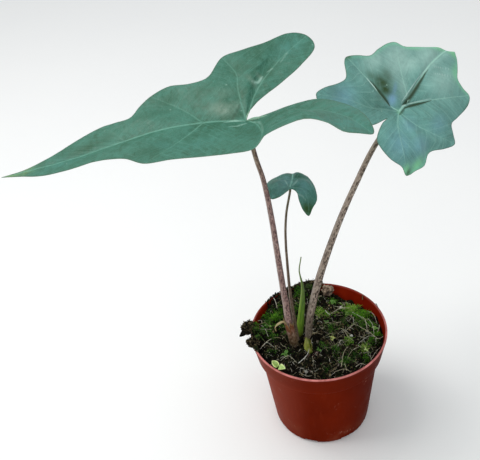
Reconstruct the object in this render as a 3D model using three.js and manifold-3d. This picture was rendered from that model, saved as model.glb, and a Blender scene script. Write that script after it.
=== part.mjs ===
// Potted batwing alocasia: three leaves, a rolled new leaf, peat and a plastic nursery pot.
// Millimetres, +Z up. The origin is the centre of the pot's underside.

import * as THREE from 'three';
import { mergeVertices } from 'three/addons/utils/BufferGeometryUtils.js';
import Module from 'manifold-3d';

const wasm = await Module();
wasm.setup();

// Driving dimensions
const GAP = 0.3;

// Edges shorter than this are folded away after a cut or a join.
const SLIVER = 0.02;

// The pot's collar ends in a shoulder, where the body below it is narrower.
const POT = {
  height: 105,
  rimRadius: 60,
  collarRadius: 59.6,
  collarFootRadius: 56.3,
  collarFootHeight: 84,
  shoulder: 3.5,
  bodyTopRadius: 52.6,
  baseRadius: 44.1,
  baseBevel: 3,
  baseBevelHeight: 4,
  lipDrop: 2.2,
  lipWidth: 1.6,
  wall: 1.4,
  floor: 1.8,
  segments: 56,
};

// What sits astride the rim keeps off a ring this wide, measured inwards from its outside.
const RIM_RING = 4.5;

const NOTCH = { count: 8, width: 12, height: 3, depth: 5, firstAzimuth: -67 };

// The soil's side keeps play to the pot's wall, and its top has a bevel and stays below edge
// along the wall.
const SOIL = {
  level: 96.5, radius: 55.8, edge: 103.5, bevel: 2, play: 0.48, segments: 56, rings: 14, lump: 1.3,
};

// Heaps and one hollow in the soil: x, y, height and spread.
const HEAPS = [
  [-17, -4, 3, 13], [-6, 46, 11, 10], [-33, 40, 7, 9], [-48, 6, 7, 10], [-30, -36, 4, 14],
  [15, -44, 3, 14], [36, 6, 2, 12], [38, 34, -4, 12],
];

// A blade's lamina is puffed up between two veins, less beside the midrib's outer part and
// in the strip along the sinus.
const BLADE = {
  thickness: 0.8, rib: 1.2, ribAtTip: 0.2, puff: 1.6, puffAtTip: 0.55, puffAtSinus: 0.65,
};

const CROWN = { x: -17, y: -4, radius: 14, top: 82, depth: 17 };

const COLOURS = {
  pot: 0x8a2e1c,
  peat: 0x2a211a,
  bark: 0x4a3a2c,
  chip: 0x9a8466,
  corm: 0x7a5c40,
  petiole: 0x8a6f63,
  smallPetiole: 0x7d6a55,
  leftBlade: 0x4f8870,
  rightBlade: 0x6a9c8b,
  smallBlade: 0x4c7a70,
  newLeaf: 0x6f9a3a,
  bud: 0x8a9a3f,
  sheath: 0x9b5a30,
  perlite: 0xe8e6de,
  seedling: 0xa8cf62,
};

// Leaves. Each blade is laid out in its own frame: along the midrib from the petiole,
// across to the left of the midrib, and up from the blade. turn is heading, pitch and
// roll in degrees. forks are the places on the midrib where a pair of side veins leaves,
// counted in midrib points, tip first. A margin runs from the leaf's tip to the sinus,
// and each vein ends at one of its points. A vein whose fork is null leaves the petiole.
const LEFT_LEAF = {
  joint: [-45, -25, 334],
  turn: [177, -4.6, -8.2],
  midrib: [[0, 0, 0], [26, -3, 2], [57, -2, 3], [84, 0, 0], [132, 1, -8], [178, -1, -14]],
  forks: [3, 1.1],
  right: {
    margin: [
      [178, -1, -14], [159, -1.5, -11], [141, -6.5, -8], [122, -14.5, -4], [103, -20, 0],
      [92, -20, 2], [80, -19, 5], [73, -27, 7], [65, -34, 9], [52, -41, 10],
      [38, -38.5, 11], [24, -40, 12], [12, -58, 15], [0, -61, 16], [-20, -66, 16],
      [-39, -73, 16], [-50, -67, 15], [-54, -54, 13], [-43, -40, 10], [-27, -28, 6],
      [-10, -16, 3], [-4, -9.5, 1.5], [-1, -5, 1], [0, -1.5, 0],
    ],
    veins: [
      { fork: 0, through: [[92, -10, 1]], end: 4 },
      { fork: 1, through: [[43, -18, 5]], end: 8 },
      { fork: null, through: [[3, -27, 8], [3, -40, 11]], end: 12 },
      { fork: null, through: [[-10, -26, 5], [-28, -48, 11]], end: 16 },
    ],
  },
  left: {
    margin: [
      [178, -1, -14], [162, 4, -12], [150, 9, -10], [138, 13, -7], [122, 15, -4],
      [104, 17.5, 1], [91, 21.5, 4], [80, 28.5, 8], [65, 41.5, 12], [48, 44, 14],
      [30, 48.5, 16], [10, 55, 20], [-5.5, 59, 24], [-12, 49, 24], [-26, 43, 25],
      [-38, 44, 28], [-50, 54.5, 31], [-59, 66, 31], [-67, 68, 30], [-75, 67, 27],
      [-76, 53, 24], [-73, 32, 17], [-64, 14, 12], [-48, 1, 9], [-31, -1, 6],
      [-16.5, -0.5, 3], [-8.5, -0.5, 1.5], [-3.5, 0, 0.5], [0, -1.5, 0],
    ],
    veins: [
      { fork: 0, through: [[96, 10, 1]], end: 5 },
      { fork: 1, through: [[43, 15, 5]], end: 8 },
      { fork: null, through: [[-6, 8, 3], [-10, 25, 9], [-10, 40, 16]], end: 12 },
      { fork: null, through: [[-26, 11, 8], [-46, 19, 14], [-63, 38, 20]], end: 19 },
    ],
  },
};

const RIGHT_LEAF = {
  joint: [68.2, 12.1, 305.2],
  turn: [54, 4.3, 34.5],
  midrib: [
    [0, 0, 0], [8.5, 0, 1], [17.5, 1, 2], [43, 2, 2], [66.5, 2.5, 1.5], [98, -1.5, -1.5],
    [103, -3.6, -3.6],
  ],
  forks: [1.2],
  right: {
    margin: [
      [103, -3.6, -3.6], [105, -5.8, -3.2], [106.3, -7.9, -2.3], [103, -10.8, -2.2],
      [97.3, -14, -2.2], [87, -18, -1], [74.5, -22.5, 1], [71.5, -29.5, 0],
      [70.5, -37, -1], [63.5, -40, -1], [54.5, -40.5, -1], [37.5, -38.5, 0],
      [27.5, -37.5, 0], [21.5, -42.5, -1], [14.5, -48, -2], [2.5, -43.5, -2],
      [-8.5, -36.5, -2], [-14.5, -35.5, -2], [-21.5, -38.5, -5], [-30.5, -35.5, -7],
      [-37.5, -32.5, -9.5], [-37.5, -25.5, -6], [-40.5, -15.5, -4], [-39.5, -4.5, -2],
      [-37, 0.5, -1], [-22.5, 4.5, 0], [-14, 4, 0],
    ],
    veins: [
      { fork: 0, through: [[14.5, -3.6, 1.9], [25, -10.2, 2.5], [46, -23, 2]], end: 8 },
      { fork: null, through: [[0, -18, 1], [5.5, -33.5, 1]], end: 14 },
      { fork: null, through: [[-12, -4.5, 1], [-25, -13, 2], [-35.5, -22.5, 1]], end: 20 },
    ],
  },
  left: {
    margin: [
      [103, -3.6, -3.6], [100.5, -0.7, -3], [98.3, 1.5, -2.2], [94.5, 5.5, -1.2], [88, 10.6, -1],
      [75.5, 20.5, -1], [65.5, 27.5, 0], [61.5, 34.5, 1], [53.5, 38.5, 2], [38.5, 41.5, 3],
      [24.5, 43, 4], [14.5, 51, 4], [7.5, 55.5, 3], [0.5, 54, 4], [-13.5, 45.5, 5],
      [-23, 47, 5], [-36.5, 53, 4], [-44, 54, 3], [-47.5, 49.5, 2], [-45.5, 35.5, -1],
      [-40.5, 21.5, -3], [-28.5, 9.5, -1], [-14, 4, 0],
    ],
    veins: [
      { fork: 0, through: [[16, 1.5, 2], [35, 16.5, 2], [47, 25.5, 2]], end: 7 },
      { fork: null, through: [[-1.5, 10.5, 1], [3, 29, 2], [6, 42, 2]], end: 12 },
      { fork: null, through: [[-8, 8.5, 1], [-20, 18.5, 3], [-28.5, 33, 4]], end: 17 },
    ],
  },
};

const SMALL_LEAF = {
  joint: [-16.4, 0, 258.9],
  turn: [80, -6, 0],
  midrib: [[0, 0, 0], [10, -1, 0.5], [22, -1, 0], [28, 0, -5], [31, 0, -12]],
  forks: [1],
  right: {
    margin: [
      [31, 0, -12], [29, -6, -7], [24, -11, -3], [18, -15, -4], [10, -18, -5],
      [3, -20, -8], [-3, -20, -11], [-8, -17, -14], [-13, -14, -18], [-11.5, -10, -14],
      [-4, -6.5, -9.5], [0, -5, -5], [-1, -2, -1.5], [-3, 0, 0],
    ],
    veins: [
      { fork: 0, through: [[15, -7, 0]], end: 3 },
      { fork: null, through: [[2, -9, -3], [-3, -13, -8]], end: 8 },
    ],
  },
  left: {
    margin: [
      [31, 0, -12], [28, 6, -7], [25, 11, -4], [19, 17, -4], [12, 20, -5],
      [5, 19, -7], [-1, 15, -9.5], [-3, 10, -7.5], [-5.5, 5, -3], [-3, 0, 0],
    ],
    veins: [
      { fork: 0, through: [[15, 8, -0.5]], end: 3 },
      { fork: null, through: [[2, 8, -2]], end: 6 },
    ],
  },
};

// Stems. Each point is x, y, z and the stem's radius there. A petiole runs on to its blade.
const LEFT_PETIOLE = [
  [-22.5, -9.5, CROWN.top + GAP, 3.6], [-23.3, -10.3, 98, 4.3], [-25.3, -12.4, 136, 3.4],
  [-28.5, -14.4, 166, 2.8], [-31, -16.7, 204, 2.4], [-33.9, -19.8, 252, 2.1],
  [-37.1, -21.7, 283, 1.8], [-41.1, -23.1, 304, 1.7],
];
const RIGHT_PETIOLE = [
  [-10, -3.5, CROWN.top + GAP, 2.9], [-9.5, -2.9, 98, 3.1], [-6.8, -1.2, 122, 3.4],
  [-2.7, 0, 140, 3.3], [3.6, 1.8, 164, 3.2], [13.8, 4.1, 195, 2.8], [24.9, 6.2, 224.5, 2.5],
  [36.9, 8.2, 252, 2.3], [49.3, 10.1, 278, 2.1],
];
const SMALL_PETIOLE = [
  [-18.8, -4.6, CROWN.top + GAP, 1.3], [-19.2, -5, 98, 1.5], [-21, -4.6, 125, 1.4],
  [-22.8, -3.2, 154, 1.3], [-23.1, -2.2, 189, 1.1], [-23, -1.7, 206, 1.05],
  [-22.3, -1.2, 221, 1], [-20.6, -0.7, 236, 0.95],
];
const NEW_LEAF = [
  [-16, 0.6, CROWN.top + GAP, 2.4], [-16.3, 1, 98, 3], [-14.8, 1, 120, 3.2],
  [-12.2, 1, 142, 2.7], [-11.2, 1, 153, 1.7], [-12.6, 1, 162, 1.2], [-13.6, 1, 174, 0.9],
  [-11.2, 1, 188, 0.5],
];
const SIDE_BUD = [
  [-13.3, -14, CROWN.top + 1, 1.6], [-12.6, -17.5, 93, 2.6], [-12.4, -18, 98, 3.3],
  [-12.3, -15.5, 104, 2.8], [-12.2, -13.2, 109, 0.6],
];
const PETIOLE_TOP = { left: 1.6, right: 2, small: 0.9 };

// Small pieces. A grain of perlite is x, y and its radius, and its centre lies a share of its
// radius above the soil.
const PERLITE = {
  grains: [[26.4, 34.2, 1.6], [28, -6.5, 1.5], [-17.5, -44, 1.6]],
  lift: 0.4,
  rough: 0.1,
  firstSeed: 20,
};
const CLODS = {
  rim_clod_upper: { size: [8, 8.5, 4.5], centre: [-61, 6, 106.5], seed: 5, turn: [0, -0.3, 0.3] },
  rim_clod_lower: { size: [6, 5, 4], centre: [-59.5, -7.5, 106], seed: 11, turn: [0.2, -0.2, 0.2] },
  rim_clod_back: { size: [17, 5, 4.5], centre: [-1, 55, 107], seed: 8, turn: [0, 0, 0] },
};
const CHIP = { size: [7, 3.2, 2], centre: [17, 47, 101.5], seed: 3, turn: [0.5, -0.3, 0.5] };
const SEEDLING = {
  root: [-37.5, -38],
  elbow: [-38.8, -39.2, 103.6],
  fork: [-40, -40.3, 106.6],
  stalkRadii: [0.6, 0.5, 0.4],
  leaves: [
    { centre: [-42.6, -37.6, 107.6], size: [3.6, 3.3, 0.5], yaw: 2.6 },
    { centre: [-37.4, -43.2, 107.8], size: [3.4, 3.1, 0.5], yaw: -0.8 },
  ],
  tilt: 0.5,
};

// The papery sheath on the left petiole: heights with the share of its full width, and the
// torn strip that curls away from its upper edge.
const SHEATH = {
  heights: [[105, 0.5], [112, 0.95], [119, 1], [125, 0.9], [130, 0.6]],
  thickness: 0.8,
  middle: 250,
  width: 190,
  tongue: [
    [-30, -12.6, 123.6], [-30.3, -12.9, 127.6], [-32.2, -13, 130.2], [-35, -13, 130],
    [-37.4, -13, 127.6], [-37.6, -13, 124], [-35.4, -13, 122.3], [-33.4, -13, 124],
  ],
  tongueWidth: 4,
};

// Solids
function weld(geometry) {
  const bare = new THREE.BufferGeometry();
  bare.setAttribute('position', geometry.getAttribute('position'));
  if (geometry.index) bare.setIndex(geometry.index);
  const merged = mergeVertices(bare, 1e-4);
  const index = merged.index.array;
  const kept = [];
  for (let i = 0; i < index.length; i += 3) {
    const [a, b, c] = [index[i], index[i + 1], index[i + 2]];
    if (a !== b && b !== c && c !== a) kept.push(a, b, c);
  }
  merged.setIndex(kept);
  return merged;
}

function toManifold(geometry) {
  const welded = weld(geometry);
  return new wasm.Manifold(new wasm.Mesh({
    numProp: 3,
    vertProperties: new Float32Array(welded.getAttribute('position').array),
    triVerts: new Uint32Array(welded.index.array),
  }));
}

function toGeometry(manifold) {
  const mesh = manifold.simplify(SLIVER).getMesh();
  const geometry = new THREE.BufferGeometry();
  geometry.setAttribute('position', new THREE.BufferAttribute(mesh.vertProperties, mesh.numProp));
  geometry.setIndex(new THREE.BufferAttribute(mesh.triVerts, 1));
  return geometry;
}

// A closed body through rings of equally many points. Its ends are fans, or where folded is
// set, ladders between each ring's first half and its second half read backwards.
function loft(rings, { folded = false } = {}) {
  const count = rings[0].length;
  const points = rings.flat();
  const index = [];
  const addEnd = (corners, flip) => index.push(...(flip ? corners.toReversed() : corners));
  for (let r = 0; r + 1 < rings.length; r += 1) {
    for (let i = 0; i < count; i += 1) {
      const a = r * count + i;
      const b = r * count + ((i + 1) % count);
      index.push(a, b, b + count, a, b + count, a + count);
    }
  }
  for (const [first, flip] of [[0, true], [(rings.length - 1) * count, false]]) {
    if (folded) {
      for (let i = 0; i + 1 < count / 2; i += 1) {
        const [a, b, c, d] = [i, i + 1, count - 2 - i, count - 1 - i].map((k) => first + k);
        addEnd([a, b, c], flip);
        addEnd([a, c, d], flip);
      }
      continue;
    }
    const centre = points.length;
    const ring = points.slice(first, first + count);
    points.push(ring.reduce((sum, p) => sum.add(p), new THREE.Vector3()).divideScalar(count));
    for (let i = 0; i < count; i += 1) {
      const a = first + i;
      const b = first + ((i + 1) % count);
      addEnd([a, b, centre], flip);
    }
  }
  const geometry = new THREE.BufferGeometry().setFromPoints(points);
  geometry.setIndex(index);
  return geometry;
}

// A round stem along points of [x, y, z, radius], grown by extra all over. A cap is the
// plane that its top end is cut to.
function stem(points, { sides = 10, steps = 18, extra = 0, cap = null } = {}) {
  const curve = new THREE.CatmullRomCurve3(points.map(([x, y, z]) => new THREE.Vector3(x, y, z)));
  const frames = curve.computeFrenetFrames(steps);
  const lengths = curve.getLengths(200);
  const radii = points.map((p) => p[3]);
  const rings = [];
  for (let i = 0; i <= steps; i += 1) {
    const centre = curve.getPointAt(i / steps);
    const place = curve.getUtoTmapping(i / steps, (i / steps) * lengths.at(-1)) * (points.length - 1);
    const before = Math.min(Math.floor(place), points.length - 2);
    const radius = THREE.MathUtils.lerp(radii[before], radii[before + 1], place - before) + extra;
    const ring = [];
    for (let k = 0; k < sides; k += 1) {
      const angle = (2 * Math.PI * k) / sides;
      ring.push(centre.clone()
        .addScaledVector(frames.normals[i], radius * Math.cos(angle))
        .addScaledVector(frames.binormals[i], radius * Math.sin(angle)));
    }
    rings.push(ring);
  }
  if (cap) {
    const tangent = curve.getTangentAt(1);
    for (const point of rings.at(-1)) {
      point.addScaledVector(tangent, -cap.distanceToPoint(point) / cap.normal.dot(tangent));
    }
  }
  return loft(rings);
}

function turned(profile, segments) {
  const lathe = new THREE.LatheGeometry(profile.map(([r, z]) => new THREE.Vector2(r, z)), segments);
  lathe.rotateX(Math.PI / 2);
  return lathe;
}

// A repeatable draw between 0 and 1.
function seeded(seed) {
  let state = seed;
  return () => {
    state = (state * 1664525 + 1013904223) % 4294967296;
    return state / 4294967296;
  };
}

// A lumpy grain: a faceted ball with each corner moved in or out.
function lump(size, centre, seed, { detail = 2, rough = 0.18, turn = [0, 0, 0] } = {}) {
  const ball = weld(new THREE.IcosahedronGeometry(1, detail));
  const draw = seeded(seed);
  const position = ball.getAttribute('position');
  for (let i = 0; i < position.count; i += 1) {
    const reach = 1 + rough * (2 * draw() - 1);
    position.setXYZ(i, position.getX(i) * reach, position.getY(i) * reach, position.getZ(i) * reach);
  }
  ball.scale(...size);
  ball.applyMatrix4(new THREE.Matrix4().makeRotationFromEuler(new THREE.Euler(...turn)));
  ball.translate(...centre);
  return ball;
}

// Pot
function outsideProfile() {
  const { height, rimRadius, collarRadius, collarFootRadius, collarFootHeight } = POT;
  const { shoulder, bodyTopRadius, baseRadius, baseBevel, baseBevelHeight, lipDrop } = POT;
  return [
    [0, 0], [baseRadius - baseBevel, 0], [baseRadius - 0.8, 1.2], [baseRadius, baseBevelHeight],
    [bodyTopRadius, collarFootHeight - shoulder], [collarFootRadius, collarFootHeight],
    [collarRadius, height - lipDrop - 0.8], [rimRadius, height - lipDrop],
    [rimRadius, height - 0.6], [rimRadius - 0.6, height],
  ];
}

// The inside runs from the lip down to the middle of the floor.
function insideProfile() {
  const { height, rimRadius, collarRadius, collarFootRadius, collarFootHeight } = POT;
  const { shoulder, bodyTopRadius, baseRadius, baseBevel, baseBevelHeight } = POT;
  const { lipDrop, lipWidth, wall, floor } = POT;
  return [
    [rimRadius - lipWidth, height], [rimRadius - lipWidth - 0.2, height - 0.8],
    [collarRadius - wall, height - lipDrop - 0.8],
    [collarFootRadius - wall, collarFootHeight + 0.4],
    [bodyTopRadius - wall, collarFootHeight - shoulder + 0.4],
    [baseRadius - wall, baseBevelHeight + 1], [baseRadius - wall - 1.2, floor + 0.8],
    [baseRadius - wall - baseBevel, floor], [0, floor],
  ];
}

// The space that the rim takes, for what sits astride it.
function rimRing() {
  const { height, rimRadius, collarFootHeight } = POT;
  const [inner, outer] = [rimRadius - RIM_RING - GAP, rimRadius + GAP];
  return turned([
    [inner, collarFootHeight], [outer, collarFootHeight], [outer, height + GAP],
    [inner, height + GAP], [inner, collarFootHeight],
  ], POT.segments);
}

function makePot() {
  let pot = toManifold(turned([...outsideProfile(), ...insideProfile()], POT.segments));
  for (let i = 0; i < NOTCH.count; i += 1) {
    const azimuth = THREE.MathUtils.degToRad(NOTCH.firstAzimuth + (360 * i) / NOTCH.count);
    const cutter = new THREE.BoxGeometry(2 * NOTCH.depth, NOTCH.width, 2 * NOTCH.height);
    cutter.translate(POT.baseRadius, 0, 0);
    cutter.rotateZ(azimuth);
    pot = pot.subtract(toManifold(cutter));
  }
  return toGeometry(pot);
}

// Soil: a plug that follows the pot's inside, with a heaped, lumpy top.
function soilTop(x, y) {
  const lumps = Math.sin(0.42 * x + 0.6) * Math.cos(0.37 * y - 0.4)
    + 0.7 * Math.sin(0.23 * x - 0.51 * y + 1.9)
    + 0.5 * Math.sin(0.71 * x + 0.33 * y);
  return HEAPS.reduce(
    (z, [cx, cy, height, spread]) => (
      z + height * Math.exp(-((x - cx) ** 2 + (y - cy) ** 2) / (2 * spread * spread))
    ),
    SOIL.level + SOIL.lump * lumps,
  );
}

function soilRing(radius, height) {
  const ring = [];
  for (let k = 0; k < SOIL.segments; k += 1) {
    const angle = (2 * Math.PI * k) / SOIL.segments;
    const [x, y] = [radius * Math.cos(angle), radius * Math.sin(angle)];
    ring.push(new THREE.Vector3(x, y, height(x, y)));
  }
  return ring;
}

function makeSoil(cutters) {
  const side = insideProfile().filter(([radius, z]) => radius > 0 && z < SOIL.level - SOIL.bevel);
  const rings = side.toReversed().map(([radius, z]) => soilRing(radius - SOIL.play, () => z + GAP));
  rings.push(soilRing(SOIL.radius, (x, y) => Math.min(soilTop(x, y) - SOIL.bevel, SOIL.edge)));
  for (let i = 1; i < SOIL.rings; i += 1) {
    rings.push(soilRing(SOIL.radius * (1 - i / SOIL.rings) ** 0.9, soilTop));
  }
  let soil = toManifold(loft(rings));
  for (const cutter of cutters) soil = soil.subtract(cutter);
  return toGeometry(soil);
}

// Corm: a squat barrel under the stems, in its own hollow in the soil.
function makeCorm(extra = 0) {
  const { radius, top, depth } = CROWN;
  const profile = [
    [0, top - depth - extra], [radius * 0.45, top - depth - extra],
    [radius * 0.85 + extra, top - depth * 0.75], [radius + extra, top - depth * 0.4],
    [radius * 0.98 + extra, top - 1.5], [radius * 0.9 + extra, top + extra], [0, top + extra],
  ];
  const corm = turned(profile, 20);
  corm.translate(CROWN.x, CROWN.y, 0);
  return corm;
}

// Blades
function bladeAxes([heading, pitch, roll]) {
  const axes = new THREE.Matrix4().makeRotationFromEuler(new THREE.Euler(
    THREE.MathUtils.degToRad(roll),
    THREE.MathUtils.degToRad(-pitch),
    THREE.MathUtils.degToRad(heading),
    'ZYX',
  ));
  return axes;
}

function curveThrough(points) {
  const curve = new THREE.CatmullRomCurve3(
    points.map((p) => new THREE.Vector3(...p)),
    false,
    'centripetal',
  );
  return { curve, last: points.length - 1 };
}

// Points of a curve between two of its numbered points, at shares of the way along it.
function run({ curve, last }, from, to, shares) {
  const samples = 60;
  const points = [];
  const walked = [0];
  for (let i = 0; i <= samples; i += 1) {
    points.push(curve.getPoint(THREE.MathUtils.lerp(from, to, i / samples) / last));
    if (i > 0) walked.push(walked[i - 1] + points[i].distanceTo(points[i - 1]));
  }
  return shares.map((share) => {
    const goal = share * walked[samples];
    let i = 0;
    while (i < samples - 1 && walked[i + 1] < goal) i += 1;
    const span = walked[i + 1] - walked[i];
    return points[i].clone().lerp(points[i + 1], span > 0 ? (goal - walked[i]) / span : 0);
  });
}

// The lamina between two veins: a patch blended from its four edges, puffed up between them.
function lamina(veinA, veinB, inner, outer, rows, columns, puff) {
  const at = (row, column) => {
    const [w, u] = [rows[row], columns[column]];
    const [lastRow, lastColumn] = [rows.length - 1, columns.length - 1];
    const point = veinA[row].clone().multiplyScalar(1 - u).addScaledVector(veinB[row], u)
      .addScaledVector(inner[column], 1 - w)
      .addScaledVector(outer[column], w)
      .addScaledVector(veinA[0], -(1 - u) * (1 - w))
      .addScaledVector(veinB[0], -u * (1 - w))
      .addScaledVector(veinA[lastRow], -(1 - u) * w)
      .addScaledVector(veinB[lastRow], -u * w);
    if (row === 0) point.copy(inner[column]);
    if (row === lastRow) point.copy(outer[column]);
    if (column === 0) point.copy(veinA[row]);
    if (column === lastColumn) point.copy(veinB[row]);
    point.z += puff * Math.max(Math.sin(Math.PI * u), 0) ** 1.7 * Math.sin(Math.PI * w);
    return point;
  };
  return rows.map((_, row) => columns.map((__, column) => at(row, column)));
}

function bladePatches(leaf, rows, columns) {
  const midrib = curveThrough(leaf.midrib);
  const petiole = midrib.curve.getPoint(0);
  const tail = run(midrib, leaf.forks[0], midrib.last, rows);
  const patches = [];
  for (const side of [leaf.right, leaf.left]) {
    const margin = curveThrough(side.margin);
    let before = { vein: tail, root: leaf.forks[0], end: 0 };
    for (const [number, { fork, through, end }] of side.veins.entries()) {
      const puff = number === 0 ? BLADE.puffAtTip : BLADE.puff;
      const root = fork === null ? 0 : leaf.forks[fork];
      const start = midrib.curve.getPoint(root / midrib.last);
      const path = curveThrough([start.toArray(), ...through, side.margin[end]]);
      const vein = run(path, 0, path.last, rows);
      const inner = root === before.root
        ? columns.map(() => start)
        : run(midrib, before.root, root, columns);
      const outer = run(margin, before.end, end, columns);
      patches.push(lamina(before.vein, vein, inner, outer, rows, columns, puff));
      before = { vein, root, end };
    }
    const sinus = curveThrough([petiole.toArray(), side.margin.at(-1)]);
    const edge = run(margin, margin.last, before.end, rows);
    const inner = run(sinus, 0, 1, columns);
    const outer = columns.map(() => before.vein.at(-1));
    patches.push(lamina(before.vein, edge, inner, outer, rows, columns, BLADE.puffAtSinus));
  }
  return patches;
}

// Ribs stand under the midrib and veins, and thin out towards the margin. The last patch of
// each side has a rib on its first edge only, because its other edge is the margin.
function ribDepth(patchNumber, patchesPerSide, row, column, rows, columns) {
  const isMarginPatch = (patchNumber + 1) % patchesPerSide === 0;
  const onFirst = column === 0;
  const onLast = column === columns.length - 1 && !isMarginPatch;
  const onMidrib = row === 0;
  if (!onFirst && !onLast && !onMidrib) return 0;
  return THREE.MathUtils.lerp(BLADE.rib, BLADE.ribAtTip, rows[row]);
}

// The blade's upper side is its patches welded together. Its lower side has the same
// triangles, moved down the upper side's normals, so the two never cross.
function makeBlade(leaf, rows, columns) {
  const points = [];
  const depths = [];
  const known = new Map();
  const numberOf = (point, depth) => {
    const key = point.toArray().map((value) => Math.round(value * 1000)).join(' ');
    if (!known.has(key)) {
      known.set(key, points.length);
      points.push(point);
      depths.push(depth);
    }
    const number = known.get(key);
    depths[number] = Math.max(depths[number], depth);
    return number;
  };
  const upper = [];
  const add = (a, b, c) => {
    if (a !== b && b !== c && c !== a) upper.push([a, b, c]);
  };
  const patches = bladePatches(leaf, rows, columns);
  patches.forEach((patch, number) => {
    const perSide = patches.length / 2;
    const onRight = number < perSide;
    const grid = patch.map((line, row) => line.map((point, column) => numberOf(
      point,
      ribDepth(number, perSide, row, column, rows, columns),
    )));
    for (let row = 0; row + 1 < rows.length; row += 1) {
      for (let column = 0; column + 1 < columns.length; column += 1) {
        const [a, b] = [grid[row][column], grid[row][column + 1]];
        const [c, d] = [grid[row + 1][column + 1], grid[row + 1][column]];
        if (onRight) {
          add(a, b, c);
          add(a, c, d);
        } else {
          add(a, c, b);
          add(a, d, c);
        }
      }
    }
  });
  const top = new THREE.BufferGeometry().setFromPoints(points);
  top.setIndex(upper.flat());
  top.computeVertexNormals();
  const normals = top.getAttribute('normal');
  const lower = points.map((point, i) => {
    const normal = new THREE.Vector3().fromBufferAttribute(normals, i);
    return point.clone().addScaledVector(normal, -(BLADE.thickness + depths[i]));
  });
  const count = points.length;
  const index = [];
  const edges = new Map();
  for (const [a, b, c] of upper) {
    index.push(a, b, c, a + count, c + count, b + count);
    for (const [from, to] of [[a, b], [b, c], [c, a]]) {
      if (edges.has(`${to} ${from}`)) edges.delete(`${to} ${from}`);
      else edges.set(`${from} ${to}`, [from, to]);
    }
  }
  for (const [from, to] of edges.values()) {
    index.push(to, from, from + count, to, from + count, to + count);
  }
  const blade = new THREE.BufferGeometry().setFromPoints([...points, ...lower]);
  blade.setIndex(index);
  blade.applyMatrix4(bladeAxes(leaf.turn));
  blade.translate(...leaf.joint);
  return blade;
}

// A petiole with its top cut parallel to its blade, just below the rib.
function petiole(points, leaf, radius) {
  const up = new THREE.Vector3(0, 0, 1).applyMatrix4(bladeAxes(leaf.turn));
  const below = BLADE.thickness + BLADE.rib + GAP;
  const end = new THREE.Vector3(...leaf.joint).addScaledVector(up, -below);
  return {
    points: [...points, [...end.toArray(), radius]],
    cap: new THREE.Plane().setFromNormalAndCoplanarPoint(up, end),
  };
}

// A thin curled strip, carried along centres of [x, y, z, share of its full width].
function strip(centres, { radius, thickness, middle, width, steps = 8 }) {
  const rings = centres.map(([x, y, z, share]) => {
    const at = (k, reach) => {
      const angle = THREE.MathUtils.degToRad(middle + share * width * (k / steps - 0.5));
      return new THREE.Vector3(x + reach * Math.cos(angle), y + reach * Math.sin(angle), z);
    };
    const count = Array.from({ length: steps + 1 }, (_, k) => k);
    return [
      ...count.map((k) => at(k, radius + thickness)),
      ...count.toReversed().map((k) => at(k, radius)),
    ];
  });
  return loft(rings, { folded: true });
}

// Lays a loose piece on the soil: it comes down until one of its corners just clears it.
function layOnSoil(geometry) {
  const position = geometry.getAttribute('position');
  let rise = -Infinity;
  for (let i = 0; i < position.count; i += 1) {
    rise = Math.max(rise, soilTop(position.getX(i), position.getY(i)) + 2 * GAP - position.getZ(i));
  }
  return geometry.translate(0, 0, rise);
}

function makeClod({ size, centre, seed, turn }, extra = 0) {
  return toManifold(lump(size.map((reach) => reach + extra), centre, seed, { turn }));
}

function makeSeedling() {
  const { root: [x, y], elbow, fork, stalkRadii: [thick, middle, thin], leaves, tilt } = SEEDLING;
  const trunk = [[x, y, soilTop(x, y) + GAP, thick], [...elbow, middle], [...fork, middle]];
  let seedling = toManifold(stem(trunk, { sides: 6, steps: 4 }));
  for (const { centre, size, yaw } of leaves) {
    const half = centre.map((value, i) => (value + fork[i]) / 2);
    const stalk = [[...fork, middle], [...half, (middle + thin) / 2], [...centre, thin]];
    seedling = seedling.add(toManifold(stem(stalk, { sides: 6, steps: 3 })));
    const leaf = new THREE.SphereGeometry(1, 10, 6);
    leaf.rotateX(Math.PI / 2);
    leaf.scale(...size);
    leaf.rotateZ(yaw);
    leaf.rotateX(tilt);
    leaf.translate(...centre);
    seedling = seedling.add(toManifold(leaf));
  }
  return toGeometry(seedling);
}

// A thin band along a path, as wide as given along Y.
function band(path, width, thickness) {
  const curve = new THREE.CatmullRomCurve3(path.map((p) => new THREE.Vector3(...p)));
  const across = new THREE.Vector3(0, width / 2, 0);
  const steps = 2 * path.length;
  const rings = [];
  for (let i = 0; i <= steps; i += 1) {
    const centre = curve.getPointAt(i / steps);
    const out = new THREE.Vector3(0, 1, 0).cross(curve.getTangentAt(i / steps))
      .setLength(thickness / 2);
    rings.push([[1, -1], [-1, -1], [-1, 1], [1, 1]].map(([a, b]) => (
      centre.clone().addScaledVector(across, a).addScaledVector(out, b)
    )));
  }
  return loft(rings);
}

function makeSheath() {
  const { heights, thickness, middle, width, tongue, tongueWidth } = SHEATH;
  const [, foot, next] = LEFT_PETIOLE;
  const centres = heights.map(([z, share]) => {
    const way = (z - foot[2]) / (next[2] - foot[2]);
    return [
      THREE.MathUtils.lerp(foot[0], next[0], way),
      THREE.MathUtils.lerp(foot[1], next[1], way),
      z,
      share,
    ];
  });
  const collar = strip(centres, { radius: foot[3] + 2 * GAP, thickness, middle, width });
  return toGeometry(toManifold(collar).add(toManifold(band(tongue, tongueWidth, thickness))));
}

// Assembly
const plant = new THREE.Group();

function place(name, geometry, colour, roughness = 0.7) {
  const material = new THREE.MeshStandardMaterial({ color: colour, roughness, metalness: 0 });
  const mesh = new THREE.Mesh(weld(geometry), material);
  mesh.name = name;
  plant.add(mesh);
}

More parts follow.
